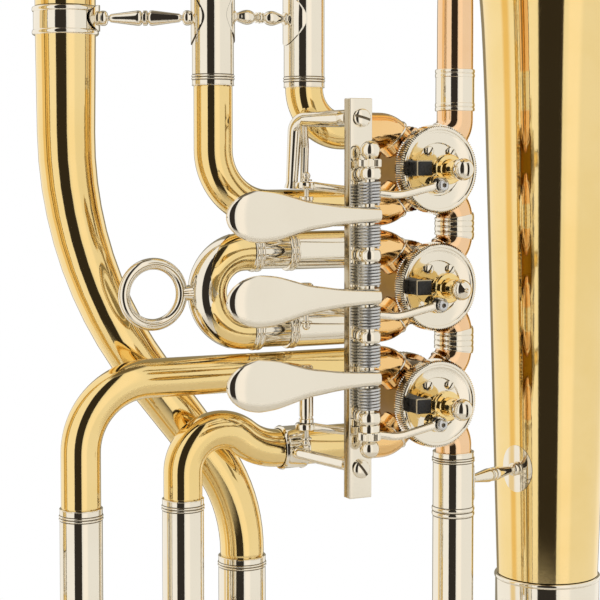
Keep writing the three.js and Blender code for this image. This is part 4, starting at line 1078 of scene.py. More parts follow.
@dataclass
class MainWay:
    """Lead pipe, receiver, mouthpiece, knuckles, exit elbow and the main slide."""

    lead_top: float = 150.0
    lead_bend: float = 26.0
    lead_front: float = -42.0
    lead_right: float = 128.0
    lead_end: float = 62.0
    bell_x: float = 74.0
    sleeve_top: float = -64.0
    sleeve_bottom: float = -150.0
    left_x: float = -65.2
    left_y: float = 17.0
    left_top: float = -99.0
    bow_z: float = -165.0

    def build(self) -> None:
        """Makes and dresses the pieces of the main way."""
        self.lead_pipe()
        self.knuckle(1)
        self.knuckle(2)
        z = BENCH.height(3)
        route = Route((0, 0, z), BENCH.main_corner(-1, z), (BENCH.main_x, 0, self.sleeve_top - 0.6))
        elbow(Part("exit_elbow"), route, route.length)
        self.main_slide()

    def lead_pipe(self) -> None:
        """The lead pipe with its ferrule, the receiver and the mouthpiece."""
        part, base, crest = Part("lead_pipe"), BENCH.ferrule, 7.5
        z, x, bend = BENCH.height(1), BENCH.main_x, self.lead_bend
        rise = self.lead_top + bend
        route = Route(
            (0, 0, z), BENCH.main_corner(1, z), (x, 0, self.lead_top, bend),
            ((x + self.bell_x) / 2, self.lead_front, self.lead_top + bend / 2, bend),
            (self.lead_right - bend / 2, self.lead_front + bend / 2, rise, bend),
            (self.lead_right, self.lead_end / 3, rise, bend), (self.lead_right, self.lead_end, rise))
        upright = route.runs[2]
        start = upright.at + 64.9 - upright.start.z
        end = start + 15.6
        elbow(part, route, start + 1)
        part.tube("ferrule", route, [
            (start, BENCH.tube), *bead(start, base, crest), *bead(start + 1.6, base, crest),
            (start + 3.4, base), (end - 3.4, base), *bead(end - 3.0, base, crest),
            *bead(end - 1.4, base, crest), (end + 0.02, BENCH.tube)])
        taper = [(end - 1, BENCH.tube), (end + 15.6, BENCH.tube), (route.length, 5.0)]
        part.tube("taper", route, taper, Finish.GOLD_BRASS)
        self.receiver(route.at(route.length), route.runs[-1].ahead)

    def receiver(self, point: Vector, ahead: Vector) -> None:
        """The receiver on the lead pipe's end, and the mouthpiece in it.

        Args:
            point: End of the lead pipe.
            ahead: Direction of the lead pipe there.
        """
        Part("receiver").turn("shell", [
            (0, 0.3), (5.0, 0.3), (6.6, 1.2), (7.3, 2.2), (7.4, 3.2), (7.1, 4.0), (6.5, 4.8),
            (6.4, 28.4), (7.0, 29.2), (7.35, 30.0), (7.4, 33.4), (7.1, 33.9), (6.9, 34.0),
            (5.3, 34.0), (5.2, 33.8), (5.2, 11.7), (0, 11.7)], ahead, point, 64)
        Part("mouthpiece", "mouthpiece").turn("cup", [
            (0, 0), (4.7, 0), (4.8, 0.4), (4.8, 22), (4.75, 23), (4.3, 29), (4.4, 34), (5.2, 38.0),
            (6.6, 41.0), (8.6, 44.5), (10.4, 48), (11.4, 52), (11.9, 57), (12.3, 61), (12.9, 63.3),
            (12.9, 64.8), (12.3, 65.7), (11.2, 66.0), (10.0, 65.9), (9.0, 65.3), (8.5, 64.2),
            (8.3, 62), (7.8, 58.5), (6.6, 55), (4.8, 52.8), (3.4, 52.0), (2.2, 51.0), (2.2, 48), (0, 48)
        ], ahead, point + ahead * 12, 72, Finish.SILVER_PLATE)

    def knuckle(self, upper: int) -> None:
        """The knuckle below an upper valve, with its ferrule of four beads.

        Args:
            upper: Number of the upper valve.
        """
        top, low = BENCH.height(upper), BENCH.height(upper + 1)
        route = Route((0, 0, top), BENCH.main_corner(-1, top), BENCH.main_corner(1, low), (0, 0, low))
        part, last, base = Part(f"knuckle_{upper}_{upper + 1}"), route.length, BENCH.ferrule
        part.tube("elbows", route, [(ELBOW_START, BENCH.tube), (last - ELBOW_START, BENCH.tube)],
                  Finish.GOLD_BRASS)
        middle = last / 2
        beads = [step for k in range(4) for step in bead(middle - 4.1 + 2.05 * k, base, 7.5, 1.9)]
        part.tube("ferrule", route, [(middle - 4.2, BENCH.tube), (middle - 4.15, base), *beads,
                                     (middle + 4.15, base), (middle + 4.2, BENCH.tube)])
        collar(part, "collar_1", route, COLLAR_START)
        collar(part, "collar_2", route, last - COLLAR_START - 0.7)

    def main_slide(self) -> None:
        """The two main sleeves and the main tuning slide."""
        x, low, top, right, left = BENCH.main_x, self.sleeve_bottom, self.sleeve_top, 6.9, 7.9
        length = top - low
        sleeve("main_sleeve_right", Vector((x, 0, low)), length, 7.8, 7.2, 8.15,
               [(length * 0.715, 1.6)], 6.85)
        sleeve("main_sleeve_left", Vector((self.left_x, self.left_y, low)), self.left_top - low,
               8.7, 8.0, 8.98)
        bend = math.hypot(x - self.left_x, self.left_y) / 2 - 0.01
        start, left_start = top - 13.6, self.left_top - 6.8
        route = Route((x, 0, start), (x, 0, self.bow_z - bend, bend),
                      (self.left_x, self.left_y, self.bow_z - bend, bend),
                      (self.left_x, self.left_y, left_start))
        last = route.length
        stop, far_stop = start - low + 0.3, last - (left_start - low) - 0.3
        part = Part("main_slide", "main_slide")
        part.tube("inner_right", route, [(0, right), (stop + 1, right)])
        part.tube("ferrule_right", route, band(stop, stop + 10, right, 7.8))
        part.tube("bow", route, [(stop + 1, right), (far_stop - 1, left)], Finish.YELLOW_BRASS)
        part.tube("ferrule_left", route, band(far_stop - 10, far_stop, left, 8.7))
        part.tube("inner_left", route, [(far_stop - 1, 7.3), (last, 7.3)])


@dataclass
class UprightSlide:
    """A valve slide that points up or down: fixed tubes, sleeves and the pulled bow."""

    name: str
    right_x: float
    left_x: float
    seat: float
    mouth: float
    bow_z: float

    def fixed(self) -> dict[str, Route]:
        """Routes of the fixed tubes, from the valve to the sleeves, by name."""
        return {}

    def end(self, x: float) -> Point:
        """End of a fixed tube in its sleeve."""
        return (x, 0, self.seat + math.copysign(1.2, self.bow_z))

    def build(self) -> None:
        """Makes and dresses the tubes, sleeves and the slide."""
        for name, route in self.fixed().items():
            self.fixed_tube(Part(f"{self.name}_{name}_tube"), route)
        low, length = min(self.seat, self.mouth), abs(self.mouth - self.seat)
        for side, x in (("right", self.right_x), ("left", self.left_x)):
            sleeve(f"{self.name}_sleeve_{side}", Vector((x, 0, low)), length, BENCH.ferrule, 6.8, 7.58)
        bend = (self.right_x - self.left_x) / 2 - 0.01
        start = self.seat + math.copysign(BENCH.tube, self.bow_z)
        top = self.bow_z + math.copysign(bend, self.bow_z)
        route = Route((self.right_x, 0, start), (self.right_x, 0, top, bend),
                      (self.left_x, 0, top, bend), (self.left_x, 0, start))
        self.bow(Part(self.name, self.name), route, abs(self.mouth - start) + 0.3)

    @staticmethod
    def fixed_tube(part: Part, route: Route) -> None:
        """A fixed tube: gold elbow, ferrule beside the rail and a brass run.

        Args:
            part: Part that the pieces belong to.
            route: Centre line from the valve's axis.
        """
        join, seat, wide, seated = 30.0, route.length - 1.5, BENCH.tube, 6.74
        # The elbow's more orange brass is a painted reflection of light bouncing between the tubes.
        elbow(part, route, join + 1, Finish.WARM_BRASS)
        part.tube("ferrule", route, band(join, join + 5, wide, BENCH.ferrule))
        part.tube("run", route, [(join + 4, wide), (seat - 0.25, wide), (seat - 0.1, wide),
                                 (seat, seated), (route.length, seated)], Finish.YELLOW_BRASS)

    @staticmethod
    def bow(part: Part, route: Route, inner: float) -> None:
        """The pulled slide: inner legs, ferrules with two beads, and the bow.

        Args:
            part: Part that the pieces belong to.
            route: Centre line from one leg's end to the other's.
            inner: Length of each leg that goes into its sleeve.
        """
        leg_radius, base, wide, last = 6.5, 7.2, BENCH.tube, route.length
        leg = [(0, leg_radius), (inner + 1, leg_radius)]
        ferrule = [(inner, leg_radius), (inner + 0.02, 7.15), *bead(inner + 0.1, base, 7.45, 1.5),
                   *bead(inner + 1.8, base, 7.45, 1.5), (inner + 3.6, base), (inner + 5.0, 7.15),
                   (inner + 5.2, wide)]
        for word, profile in (("leg", leg), ("ferrule", ferrule)):
            part.tube(f"{word}_right", route, profile)
            part.tube(f"{word}_left", route, mirror(profile, last))
        part.tube("bow", route, [(inner + 2, wide), (last - inner - 2, wide)], Finish.YELLOW_BRASS)


@dataclass
class FirstSlide(UprightSlide):
    """The first valve slide, which points up."""

    name: str = "slide_1"
    right_x: float = -48.0
    left_x: float = -83.5
    seat: float = 72.3
    mouth: float = 118.0
    bow_z: float = 128.0

    def fixed(self) -> dict[str, Route]:
        """Routes of the upper and the lower tube.

        Returns:
            The routes by the tubes' names.
        """
        z = BENCH.height(1)
        tubes = (("upper", 1, self.right_x, 15.0), ("lower", -1, self.left_x, 21.0))
        return {name: Route((0, 0, z), BENCH.corner(way, z), (x, 0, z + way * BENCH.port, bend),
                            self.end(x)) for name, way, x, bend in tubes}


@dataclass
class ThirdSlide(UprightSlide):
    """The third valve slide, which points down, with its swan neck."""

    name: str = "slide_3"
    right_x: float = -95.3
    left_x: float = -132.6
    seat: float = -72.0
    mouth: float = -122.0
    bow_z: float = -134.0
    left_bend: float = 24.0
    crest_bend: float = 14.0
    swan_bend: float = 22.0
    rise: float = 8.2

    def fixed(self) -> dict[str, Route]:
        """Routes of the upper tube and of the lower one with the swan neck.

        Returns:
            The routes by the tubes' names.
        """
        z = BENCH.height(3)
        low, crest = z - BENCH.port, z - BENCH.port + self.rise
        both = self.crest_bend + self.swan_bend
        angle = math.acos(1 - self.rise / both)
        crest_x = self.right_x + self.crest_bend
        first = crest_x + both * math.sin(angle) - self.swan_bend * math.tan(angle / 2)
        second = crest_x + self.crest_bend * math.tan(angle / 2)
        return {
            "upper": Route((0, 0, z), BENCH.corner(1, z),
                           (self.left_x, 0, z + BENCH.port, self.left_bend), self.end(self.left_x)),
            "lower": Route((0, 0, z), BENCH.corner(-1, z), (first, 0, low, self.swan_bend),
                           (second, 0, crest, self.crest_bend),
                           (self.right_x, 0, crest, self.crest_bend - 0.03), self.end(self.right_x))}


@dataclass
class SecondSlide:
    """The second valve slide, with its guard and pull ring."""

    sleeve_end: float = -56.0
    ferrule_x: float = -66.5
    bow_x: float = -71.8
    bend: float = BENCH.port - 0.03
    skin: float = 7.05
    ring_x: float = -106.2
    ring: float = 10.6
    wire: float = 2.05
    part: Part = Part("slide_2", "slide_2")

    def build(self) -> None:
        """Makes and dresses the legs and the slide."""
        for name, way in (("upper", 1), ("lower", -1)):
            route = Route((0, 0, 0), BENCH.corner(way, 0), (self.sleeve_end, 0, way * BENCH.port))
            part, last = Part(f"slide_2_leg_{name}"), route.length
            # The elbow's more orange brass is a painted reflection of light bouncing between the tubes.
            elbow(part, route, 31.0, Finish.WARM_BRASS)
            part.tube("run", route, [(30.0, 6.9), (last - 3.6, 6.9), *bead(last - 3.4, 6.95, 7.35, 1.6),
                                     *bead(last - 1.7, 6.95, 7.35, 1.6), (last, 6.4)])
        self.slide()
        self.guard()
        self.pull_ring()

    def slide(self) -> None:
        """The bow with its legs and ferrules."""
        port, bend = BENCH.port, self.bend
        start = self.sleeve_end + (self.sleeve_end - self.ferrule_x) * 1.6
        far = self.bow_x - bend
        route = Route((start, 0, port), (far, 0, port, bend), (far, 0, -port, bend), (start, 0, -port))
        last, edge, shown = route.length, start - self.ferrule_x, start - self.sleeve_end
        ferrule = [(edge - 0.4, 6.2), (edge - 0.38, 6.95), *bead(edge - 0.3, 6.95, 7.35, 1.6),
                   *bead(edge + 1.5, 6.95, 7.35, 1.6), (edge + 3.3, 7.0), (edge + 3.6, 6.8)]
        leg = [(0, 5.8), (shown, 5.8), (shown + 0.1, 6.4), (edge + 1, 6.4)]
        for word, profile in (("leg", leg), ("ferrule", ferrule)):
            self.part.tube(f"{word}_upper", route, profile)
            self.part.tube(f"{word}_lower", route, mirror(profile, last))
        self.part.tube("bow", route, [(edge + 1, BENCH.tube), (last - edge - 1, BENCH.tube)],
                  Finish.YELLOW_BRASS)

    def guard(self) -> None:
        """The pointed guard on the outside of the bow, cut out of a sheet round it."""
        bend, skin, foot = self.bend, self.skin, self.bow_x + 4
        route = Route((foot, 0, bend), (self.bow_x - bend, 0, bend, bend),
                      (self.bow_x - bend, 0, -bend, bend), (foot, 0, -bend))
        wrap = tube("slide_2_guard", route, [(0.5, skin), (route.length - 0.5, skin)], 64)
        widths = ((0, 100), (5, 90), (14, 75), (30, 62), (50, 44), (66, 22), (78, 0))
        edge = [(math.radians(low + (high - low) * k / 4),
                 bend + skin * math.cos(math.radians(wide + (narrow - wide) * k / 4)))
                for (low, wide), (high, narrow) in zip(widths, widths[1:]) for k in range(4)]
        edge = [(-angle, reach) for angle, reach in reversed(edge[1:])] + edge
        rim = [(angle, bend + 12) for angle, _ in reversed(edge)]
        points = [Vector((self.bow_x - reach * math.cos(angle), -10, reach * math.sin(angle)))
                  for angle, reach in [*edge, *rim]]
        cut(wrap, prism("cutter", points, 20.0), "INTERSECT")
        self.part.place(wrap)

    def pull_ring(self) -> None:
        """The pull ring and its stem."""
        section = [(self.ring + self.wire * math.cos(angle), self.wire * math.sin(angle))
                   for angle in (math.tau * k / 24 for k in range(25))]
        self.part.turn("ring", section, FRONT, Vector((self.ring_x, 0, 0)), 96)
        stem = Route((self.bow_x - self.bend - 4, 0, 0), (self.ring_x + self.ring, 0, 0))
        self.part.tube("stem", stem, [(0, 3.6), (2.0, 3.0), (stem.length - 1.5, 2.6),
                                      (stem.length, 2.4)])


@dataclass
class MainTube:
    """The conical main tube and the bell."""

    branch_x: float = -129.0
    branch_y: float = 25.0
    joint_z: float = 100.0
    turn_z: float = -77.3
    lean: float = math.radians(36.9)
    spacing: float = 62.0
    top_z: float = 152.0
    outer_bottom: float = -96.0
    bow_bend: float = 118.0
    bow_z: float = -268.0
    bell_x: float = 74.0
    bell_y: float = 22.0
    bell_joint: float = -122.0
    joint: float = 20.5
    throat_z: float = 70.0
    throat: float = 26.5
    rim_z: float = 262.0
    rim: float = 108.0
    wire: float = 2.0
    wall: float = 0.9
    way: MainWay = field(default_factory=MainWay)

    def build(self) -> None:
        """Makes and dresses the branches, the bows and the bell."""
        self.first_branch()
        self.outer_branches()
        self.bell_flare()

    def first_branch(self) -> None:
        """The first branch, from the main slide up behind the third slide."""
        x, y = self.way.left_x, self.way.left_y
        run = abs(self.branch_x - x) / math.tan(self.lean)
        route = Route((x, y, self.way.left_top - 1.2), (x, y, self.turn_z, 60),
                      (self.branch_x, self.branch_y, self.turn_z + run, 144),
                      (self.branch_x, self.branch_y, self.joint_z))
        part, last = Part("first_branch"), route.length
        part.tube("tube", route, [(0, 7.94), (1.5, 7.94), (1.6, 8.0), (last - 9, 10.6)],
                  Finish.YELLOW_BRASS, 56)
        part.tube("ferrule", route, garland(last - 10, last, 10.6, 11.7), sides=56)

    def outer_branches(self) -> None:
        """The outer branch with the top bow, and the wide bottom bow with a garland at each end."""
        x, y, bend = self.branch_x, self.branch_y, self.spacing / 2 - 0.03
        outer_x, top, low = x - self.spacing, self.top_z + bend, self.outer_bottom
        route = Route((x, y, self.joint_z + 0.3), (x, y, top, bend), (outer_x, y, top, bend),
                      (outer_x, y, low))
        last = route.length
        Part("outer_branch").tube("tube", route, [(0, 10.6), (last / 3, 11.8), (last, 15.2)],
                                  Finish.YELLOW_BRASS, 64)
        route = Route((outer_x, y, low - 0.3), (outer_x, y, self.bow_z, self.bow_bend),
                      (self.bell_x, self.bell_y, self.bow_z, self.bow_bend),
                      (self.bell_x, self.bell_y, self.bell_joint - 0.3))
        part, last = Part("bottom_bow"), route.length
        part.tube("tube", route, [(1, 15.2), (last - 15, self.joint)], Finish.YELLOW_BRASS, 72)
        part.tube("garland_left", route, garland(0, 16, 15.2, 16.3), sides=64)
        part.tube("garland_right", route, garland(last - 16, last, self.joint, 21.6), sides=72)

    def bell_flare(self) -> None:
        """The bell with its rolled rim."""
        shares = [(0.0, 0.0), (0.2, 0.025), (0.4, 0.08), (0.56, 0.155), (0.7, 0.255), (0.82, 0.395),
                  (0.91, 0.57), (0.97, 0.78), (1.0, 1.0)]
        widening, height = self.throat - self.joint, self.throat_z - self.bell_joint
        outer = [(self.joint + widening * k / 6, self.bell_joint + height * k / 6) for k in range(6)]
        outer += [(self.throat + (self.rim - self.throat) * opening,
                   self.throat_z + (self.rim_z - self.throat_z) * rise)
                  for rise, opening in smooth_through(shares, 5)]
        inner = []
        for (r0, z0), (radius, z), (r1, z1) in zip([outer[0], *outer], outer, [*outer[1:], outer[-1]]):
            length = math.hypot(r1 - r0, z1 - z0)
            inner.append((radius - self.wall * (z1 - z0) / length, z + self.wall * (r1 - r0) / length))
        inner[0] = (inner[0][0], self.bell_joint)
        roll = [(self.rim + self.wire * math.sin(angle), self.rim_z - self.wire * math.cos(angle))
                for angle in map(math.radians, range(20, 181, 20))]
        outline = [*outer[:-1], *roll, (self.rim - 3.6, self.rim_z + self.wire),
                   *reversed(inner[:-1]), outer[0]]
        Part("bell").turn("shell", outline, UP, Vector((self.bell_x, self.bell_y, 0)), 160,
                          Finish.YELLOW_BRASS)


@dataclass
class LeverWorks:
    """Rail, hinge rod, springs, finger levers, link rods and the rail's braces."""

    rail_low: float = -70.5
    rail_high: float = 67.5
    rail_front: float = -34.2
    rail_back: float = -29.8
    rail_width: float = 8.7
    rod: float = 1.7
    bore: float = 1.95
    spring: float = 3.35
    wire: float = 0.46
    curls: float = 7.2
    hub: float = 3.5
    hub_height: float = 5.4
    post_height: float = 3.8
    upper_z: float = 60.8
    lower_z: float = -60.2
    eye: float = 1.2
    play: float = 2.7
    pivots: tuple = ((37.5, 1), (-6.6, -1), (-48.2, -1))
    plate_start: float = -41.2
    plate_length: float = 56.1
    plate_width: float = 8.65

    def build(self) -> None:
        """Makes and dresses the lever works."""
        self.rail()
        self.hinge_rod()
        for lever in (1, 2, 3):
            z = BENCH.lever_height(lever)
            near, far = self.hub_height / 2 + 0.35, (BENCH.post_pitch - self.post_height) / 2 - 0.35
            self.spring_coil(2 * lever - 1, z + near, z + far)
            self.spring_coil(2 * lever, z - far, z - near)
        for number in (1, 2, 3):
            self.lever(number)
            self.link(number)
        self.upper_brace()
        self.lower_brace()

    def rail(self) -> None:
        """The rail with its four ring posts and two screws."""
        part = Part("lever_rail")
        x, half, front, back = BENCH.rail_x, self.rail_width / 2, self.rail_front, self.rail_back
        part.place(block("lever_rail_plate", (x - half, front, self.rail_low),
                         (x + half, back, self.rail_high), 0.35))
        # The dimmed strip on the rail's left side is painted shade.
        part.place(block("lever_rail_side", (x - half - 0.06, front + 0.35, self.rail_low + 0.3),
                         (x - half + 0.3, back - 0.35, self.rail_high - 0.3)), Finish.WORN_EDGE)
        reach, high = front - BENCH.rod_y, self.post_height / 2
        stem = [(0, -0.3), (2.3, -0.3), (2.6, 0.2), (2.75, 0.9), (2.7, 1.6), (2.4, 2.3), (2.0, 2.8),
                (1.9, reach - 2.6), (0, reach - 2.4)]
        ring = [(self.bore, -high), (3.3, -high), (3.55, -high + 0.3), (3.8, -high + 1.0), (3.85, 0),
                (3.8, high - 1.0), (3.55, high - 0.3), (3.3, high), (self.bore, high),
                (self.bore, -high)]
        for i in range(4):
            z = (1.5 - i) * BENCH.post_pitch
            part.turn(f"post_{i + 1}", stem, FRONT, Vector((x, front, z)), 40)
            part.turn(f"ring_{i + 1}", ring, UP, Vector((x, BENCH.rod_y, z)))
        screw(part, "screw_1", Vector((x, front, self.upper_z)), 3.2, 2.2, angle=-75)
        screw(part, "screw_2", Vector((x, front, self.lower_z)), 3.2, 2.2, angle=-38)

    def hinge_rod(self) -> None:
        """The hinge rod with a knurled collar and a ball at each end."""
        part = Part("hinge_rod")
        low = BENCH.post_pitch * 1.5 + self.post_height / 2 + 0.3
        centre = Vector((BENCH.rail_x, BENCH.rod_y, 0))
        part.turn("shaft", cylinder(self.rod, -low, low), UP, centre, 32)
        for name, axis, barrel in (("upper", UP, 0.0), ("lower", -UP, 2.6)):
            base, top = low + barrel, low + barrel + 2.8
            if barrel:
                part.turn("barrel", [(0, low), (3.2, low), (3.5, low + 0.3), (3.5, base - 0.3),
                                     (3.2, base), (0, base)], axis, centre)
            rim = [(0, base), (3.6, base), (3.9, base + 0.3), (3.9, top - 0.3), (3.6, top), (0, top)]
            piece = turn(f"hinge_rod_collar_{name}", rim, axis, centre, 84)
            knurl(piece, axis, centre, 3.8, base + 0.1, top - 0.1, 0.22)
            part.place(piece)
            neck = [(0, top - 0.1), (1.54, top - 0.1)]
            part.turn(f"ball_{name}", [*neck, *arc(3.4, top + 2.96, -62, 90, 16)], axis, centre)

    def spring_coil(self, number: int, low: float, high: float) -> None:
        """A numbered spring round the hinge rod, between two heights.

        Args:
            number: Its number, from the top.
            low: Height of its lower end.
            high: Height of its upper end.
        """
        count = int(self.curls * 24)
        points = []
        for k in range(count + 1):
            angle = math.tau * k / 24
            points.append(Vector((BENCH.rail_x + self.spring * math.cos(angle),
                                  BENCH.rod_y + self.spring * math.sin(angle),
                                  low + self.wire + (high - low - 2 * self.wire) * k / count)))
        part = Part(f"spring_{number}")
        piece = thicken(draw_line(f"{part.node}_coil", points), [self.wire] * len(points), 10)
        smooth(piece, 60)
        part.place(piece, Finish.SPRING_STEEL)

    def lever(self, number: int) -> None:
        """A finger lever: touch plate, hub, arm, barrel and pivot pin.

        Args:
            number: Its number, from the top.
        """
        part = Part(f"finger_lever_{number}", f"lever_{number}")
        z, half, hub, bore = BENCH.lever_height(number), self.hub_height / 2, self.hub, self.bore
        part.place(self.touch_plate(f"{part.node}_plate", z, number == 3))
        part.turn("hub", [(bore, -half), (hub - 0.3, -half), (hub, -half + 0.3), (hub, half - 0.3),
                          (hub - 0.3, half), (bore, half), (bore, -half)], UP,
                  Vector((BENCH.rail_x, BENCH.rod_y, z)))
        arm = Route((-60, BENCH.rod_y - 2.6, z), (BENCH.arm_x, BENCH.arm_y, z))
        part.tube("arm", arm, [(0, 1.2), (2, 1.5), (arm.length, 1.5)], sides=32)
        pivot_z, side = self.pivots[number - 1]
        below, above = (self.play, 0.3) if side > 0 else (0.3, self.play)
        near, far = abs(pivot_z - z) - self.eye - below, abs(pivot_z - z) + self.eye + above
        back = 3.0 if number == 2 else 1.7
        part.turn("barrel", [
            (0, -back), (1.7, -back), (2.5, -back + 0.7), (2.5, near - 2.4), (2.3, near - 2.2),
            (2.3, near - 1.6), (2.6, near - 1.3), (2.6, near - 0.2), (2.4, near), (0.9, near),
            (0.9, far), (1.85, far), (2.03, far + 0.2), (2.03, far + 0.55), (1.2, far + 0.72),
            *arc(1.45, far + 1.81, -45, 90, 10)], UP * side, Vector((BENCH.arm_x, BENCH.arm_y, z)), 40)

    def touch_plate(self, name: str, z: float, lipped: bool) -> Piece:
        """The crowned touch plate, drawn out station by station.

        Args:
            name: Name of the piece.
            z: Height of its middle.
            lipped: Whether its lower edge is turned down.

        Returns:
            The plate.
        """
        start, y, swell = self.plate_start, BENCH.rod_y - self.hub, 0.78
        shares = smooth_through([(0, 0.26), (0.25, 0.37), (0.365, 0.465), (0.478, 0.577), (0.58, 0.76),
                                 (0.68, 0.93), (swell, 1.0)], 5)
        shares += [(swell + (1 - swell) * math.sin(angle), max(0.02, math.cos(angle)))
                   for angle in (math.radians(90 * k / 16) for k in range(1, 17))]
        draw_line(name, [Vector((start, y + depth, z + across * self.plate_width * shares[0][1]))
                         for across, depth in self.touch_section(lipped)], closed=True)
        piece = to_mesh()
        with editing():
            x, width, curl, thick = start, shares[0][1], 0.0, 1.0
            for along, next_width in shares[1:]:
                end = max(0.0, (along - swell) / (1 - swell))
                next_x, next_thick = start - self.plate_length * along, max(0.06, 1 - end ** 5) ** 0.5
                next_curl = 0.6 * max(0.0, (along - 0.88) / 0.12) ** 2
                bpy.ops.mesh.extrude_edges_move(TRANSFORM_OT_translate={
                    "value": ((next_x - x) * MM, (next_curl - curl) * MM, 0)})
                bpy.ops.transform.resize(value=(1, next_thick / thick, next_width / width),
                                         center_override=(next_x * MM, (y + next_curl) * MM, z * MM))
                x, width, curl, thick = next_x, next_width, next_curl, next_thick
            bpy.ops.mesh.edge_face_add()
            bpy.ops.mesh.select_all(action="DESELECT")
        for edge in piece.data.edges:
            edge.select = min(piece.data.vertices[i].co.x for i in edge.vertices) > start * MM - 1e-6
        bpy.ops.object.mode_set(mode="EDIT")
        bpy.ops.mesh.edge_face_add()
        face_outwards()
        bpy.ops.object.mode_set(mode="OBJECT")
        smooth(piece, 40)
        return piece

    @staticmethod
    def touch_section(lipped: bool) -> list[Pair]:
        """Section of a touch plate: (share across, depth in millimetres), front first.

        Args:
            lipped: Whether its lower edge is turned down.

        Returns:
            The points, in order.
        """
        front = []
        for across in (-1 + 2 * k / 24 for k in range(25)):
            rounded = (1 - abs(across) ** 5) ** 0.5 if abs(across) < 1 else 0.0
            lip = 0.7 * max(0.0, -across - 0.75) if lipped else 0.0
            front.append((across, -1.2 * rounded - 0.7 * (1 - across * across) + lip))
        return [*front, *((share, 1.1) for share in (0.93, 0.5, 0.0, -0.5, -0.93))]

    def link(self, number: int) -> None:
        """A link rod with an eye at each end.

        Args:
            number: Its number, from the top.
        """
        part = Part(f"link_rod_{number}", f"link_{number}")
        pin = Vector((-BENCH.pin, 0, BENCH.height(number) - BENCH.pin))
        part.turn("pin_eye", [
            (1.25, 22.7), (2.5, 22.7), (2.85, 23.0), (2.95, 23.7), (2.95, 25.2), (2.85, 25.7),
            (2.6, 25.95), (2.4, 25.8), (2.3, 25.4), (1.25, 25.4), (1.25, 22.7)], FRONT, pin)
        centre = Vector((BENCH.arm_x, BENCH.arm_y + 0.85, self.pivots[number - 1][0]))
        part.turn("pivot_eye", [
            (2.3, -1.2), (3.2, -1.2), (3.5, -0.9), (3.6, -0.3), (3.6, 0.3), (3.5, 0.9),
            (3.2, 1.2), (2.3, 1.2), (2.3, -1.2)], UP, centre)
        route = Route((pin.x, BENCH.eye_y, pin.z), (-22, BENCH.eye_y + 1.3, pin.z - 3.7, 13), centre)
        last = route.length
        part.tube("rod", route, [(2.3, 1.6), (5, 1.45), (last - 6, 1.45), (last - 3.2, 1.6)], sides=32)

    def upper_brace(self) -> None:
        """The forked brace that carries the rail's upper end."""
        part = Part("upper_rail_brace")
        x, z, back = BENCH.rail_x - 1.55, self.upper_z, self.rail_back + 0.3
        foot = BENCH.height(1) - BENCH.port + BENCH.tube + 0.6
        stay = Route((x, back, z), (x, back + 6.2, z, 2.5), (-54.4, -6.1, z, 5), (-54.4, -3, foot))
        last = stay.length
        part.tube("stay", stay, [(0, 3.1), (8, 3.0), (last - 2, 2.1), (last, 2.6)], sides=40)
        fork = Route((-52.85, -9.2, z - 1.55), (-50, -4.55, z - 9.3, 2.5), (-50, -3.8, foot))
        part.tube("fork", fork, [(0, 1.55), (fork.length - 2, 1.5), (fork.length, 2.1)], sides=32)

    def lower_brace(self) -> None:
        """The brace with a saddle that carries the rail's lower end."""
        part = Part("lower_rail_brace")
        x, z, back = BENCH.rail_x - 1.05, BENCH.height(3) - BENCH.port, self.rail_back + 0.3
        half = 4.75
        saddle = [(7.1, -half), (7.5, -half), (7.7, -half + 0.2), (8.0, -half + 0.9),
                  (7.6, -half + 1.7)]
        saddle += [(radius, -height) for radius, height in reversed(saddle)] + saddle[:1]
        part.turn("saddle", saddle, RIGHT, Vector((-53.5, 0, z)), 72)
        stay = Route((x, back, self.lower_z), (x, back + 4.2, self.lower_z, 2.5),
                     (-55.2, -10.1, -57.8, 2.5), (-55.2, 0, z))
        part.tube("stay", stay, [(0, 2.1), (stay.length - 6.8, 2.0)], sides=40)


LONG_BALUSTER = ((0, 2.65), (0.6, 2.6), (0.75, 2.3), (0.95, 1.8), (1.15, 1.8), (1.3, 2.2), (1.7, 2.55),
                 (2.4, 2.68), (3.4, 2.58), (6.0, 2.24), (9.0, 1.84), (11.6, 1.5), (12.0, 1.35),
                 (12.3, 1.0), (12.8, 1.0), (13.0, 1.6), (13.3, 2.2), (13.9, 2.6), (14.9, 2.65),
                 (15.6, 2.4), (15.95, 2.3))
SHORT_BALUSTER = ((0, 1.95), (0.3, 1.9), (0.45, 1.1), (0.85, 1.1), (1.0, 1.8), (1.35, 1.8), (1.5, 1.1),
                  (1.8, 1.2), (2.3, 1.75), (3.3, 2.35), (4.6, 2.6), (5.9, 2.45), (7.2, 2.0), (8.3, 1.6),
                  (8.8, 1.2), (9.1, 1.2), (9.35, 1.9), (9.7, 2.3), (10.25, 2.3))


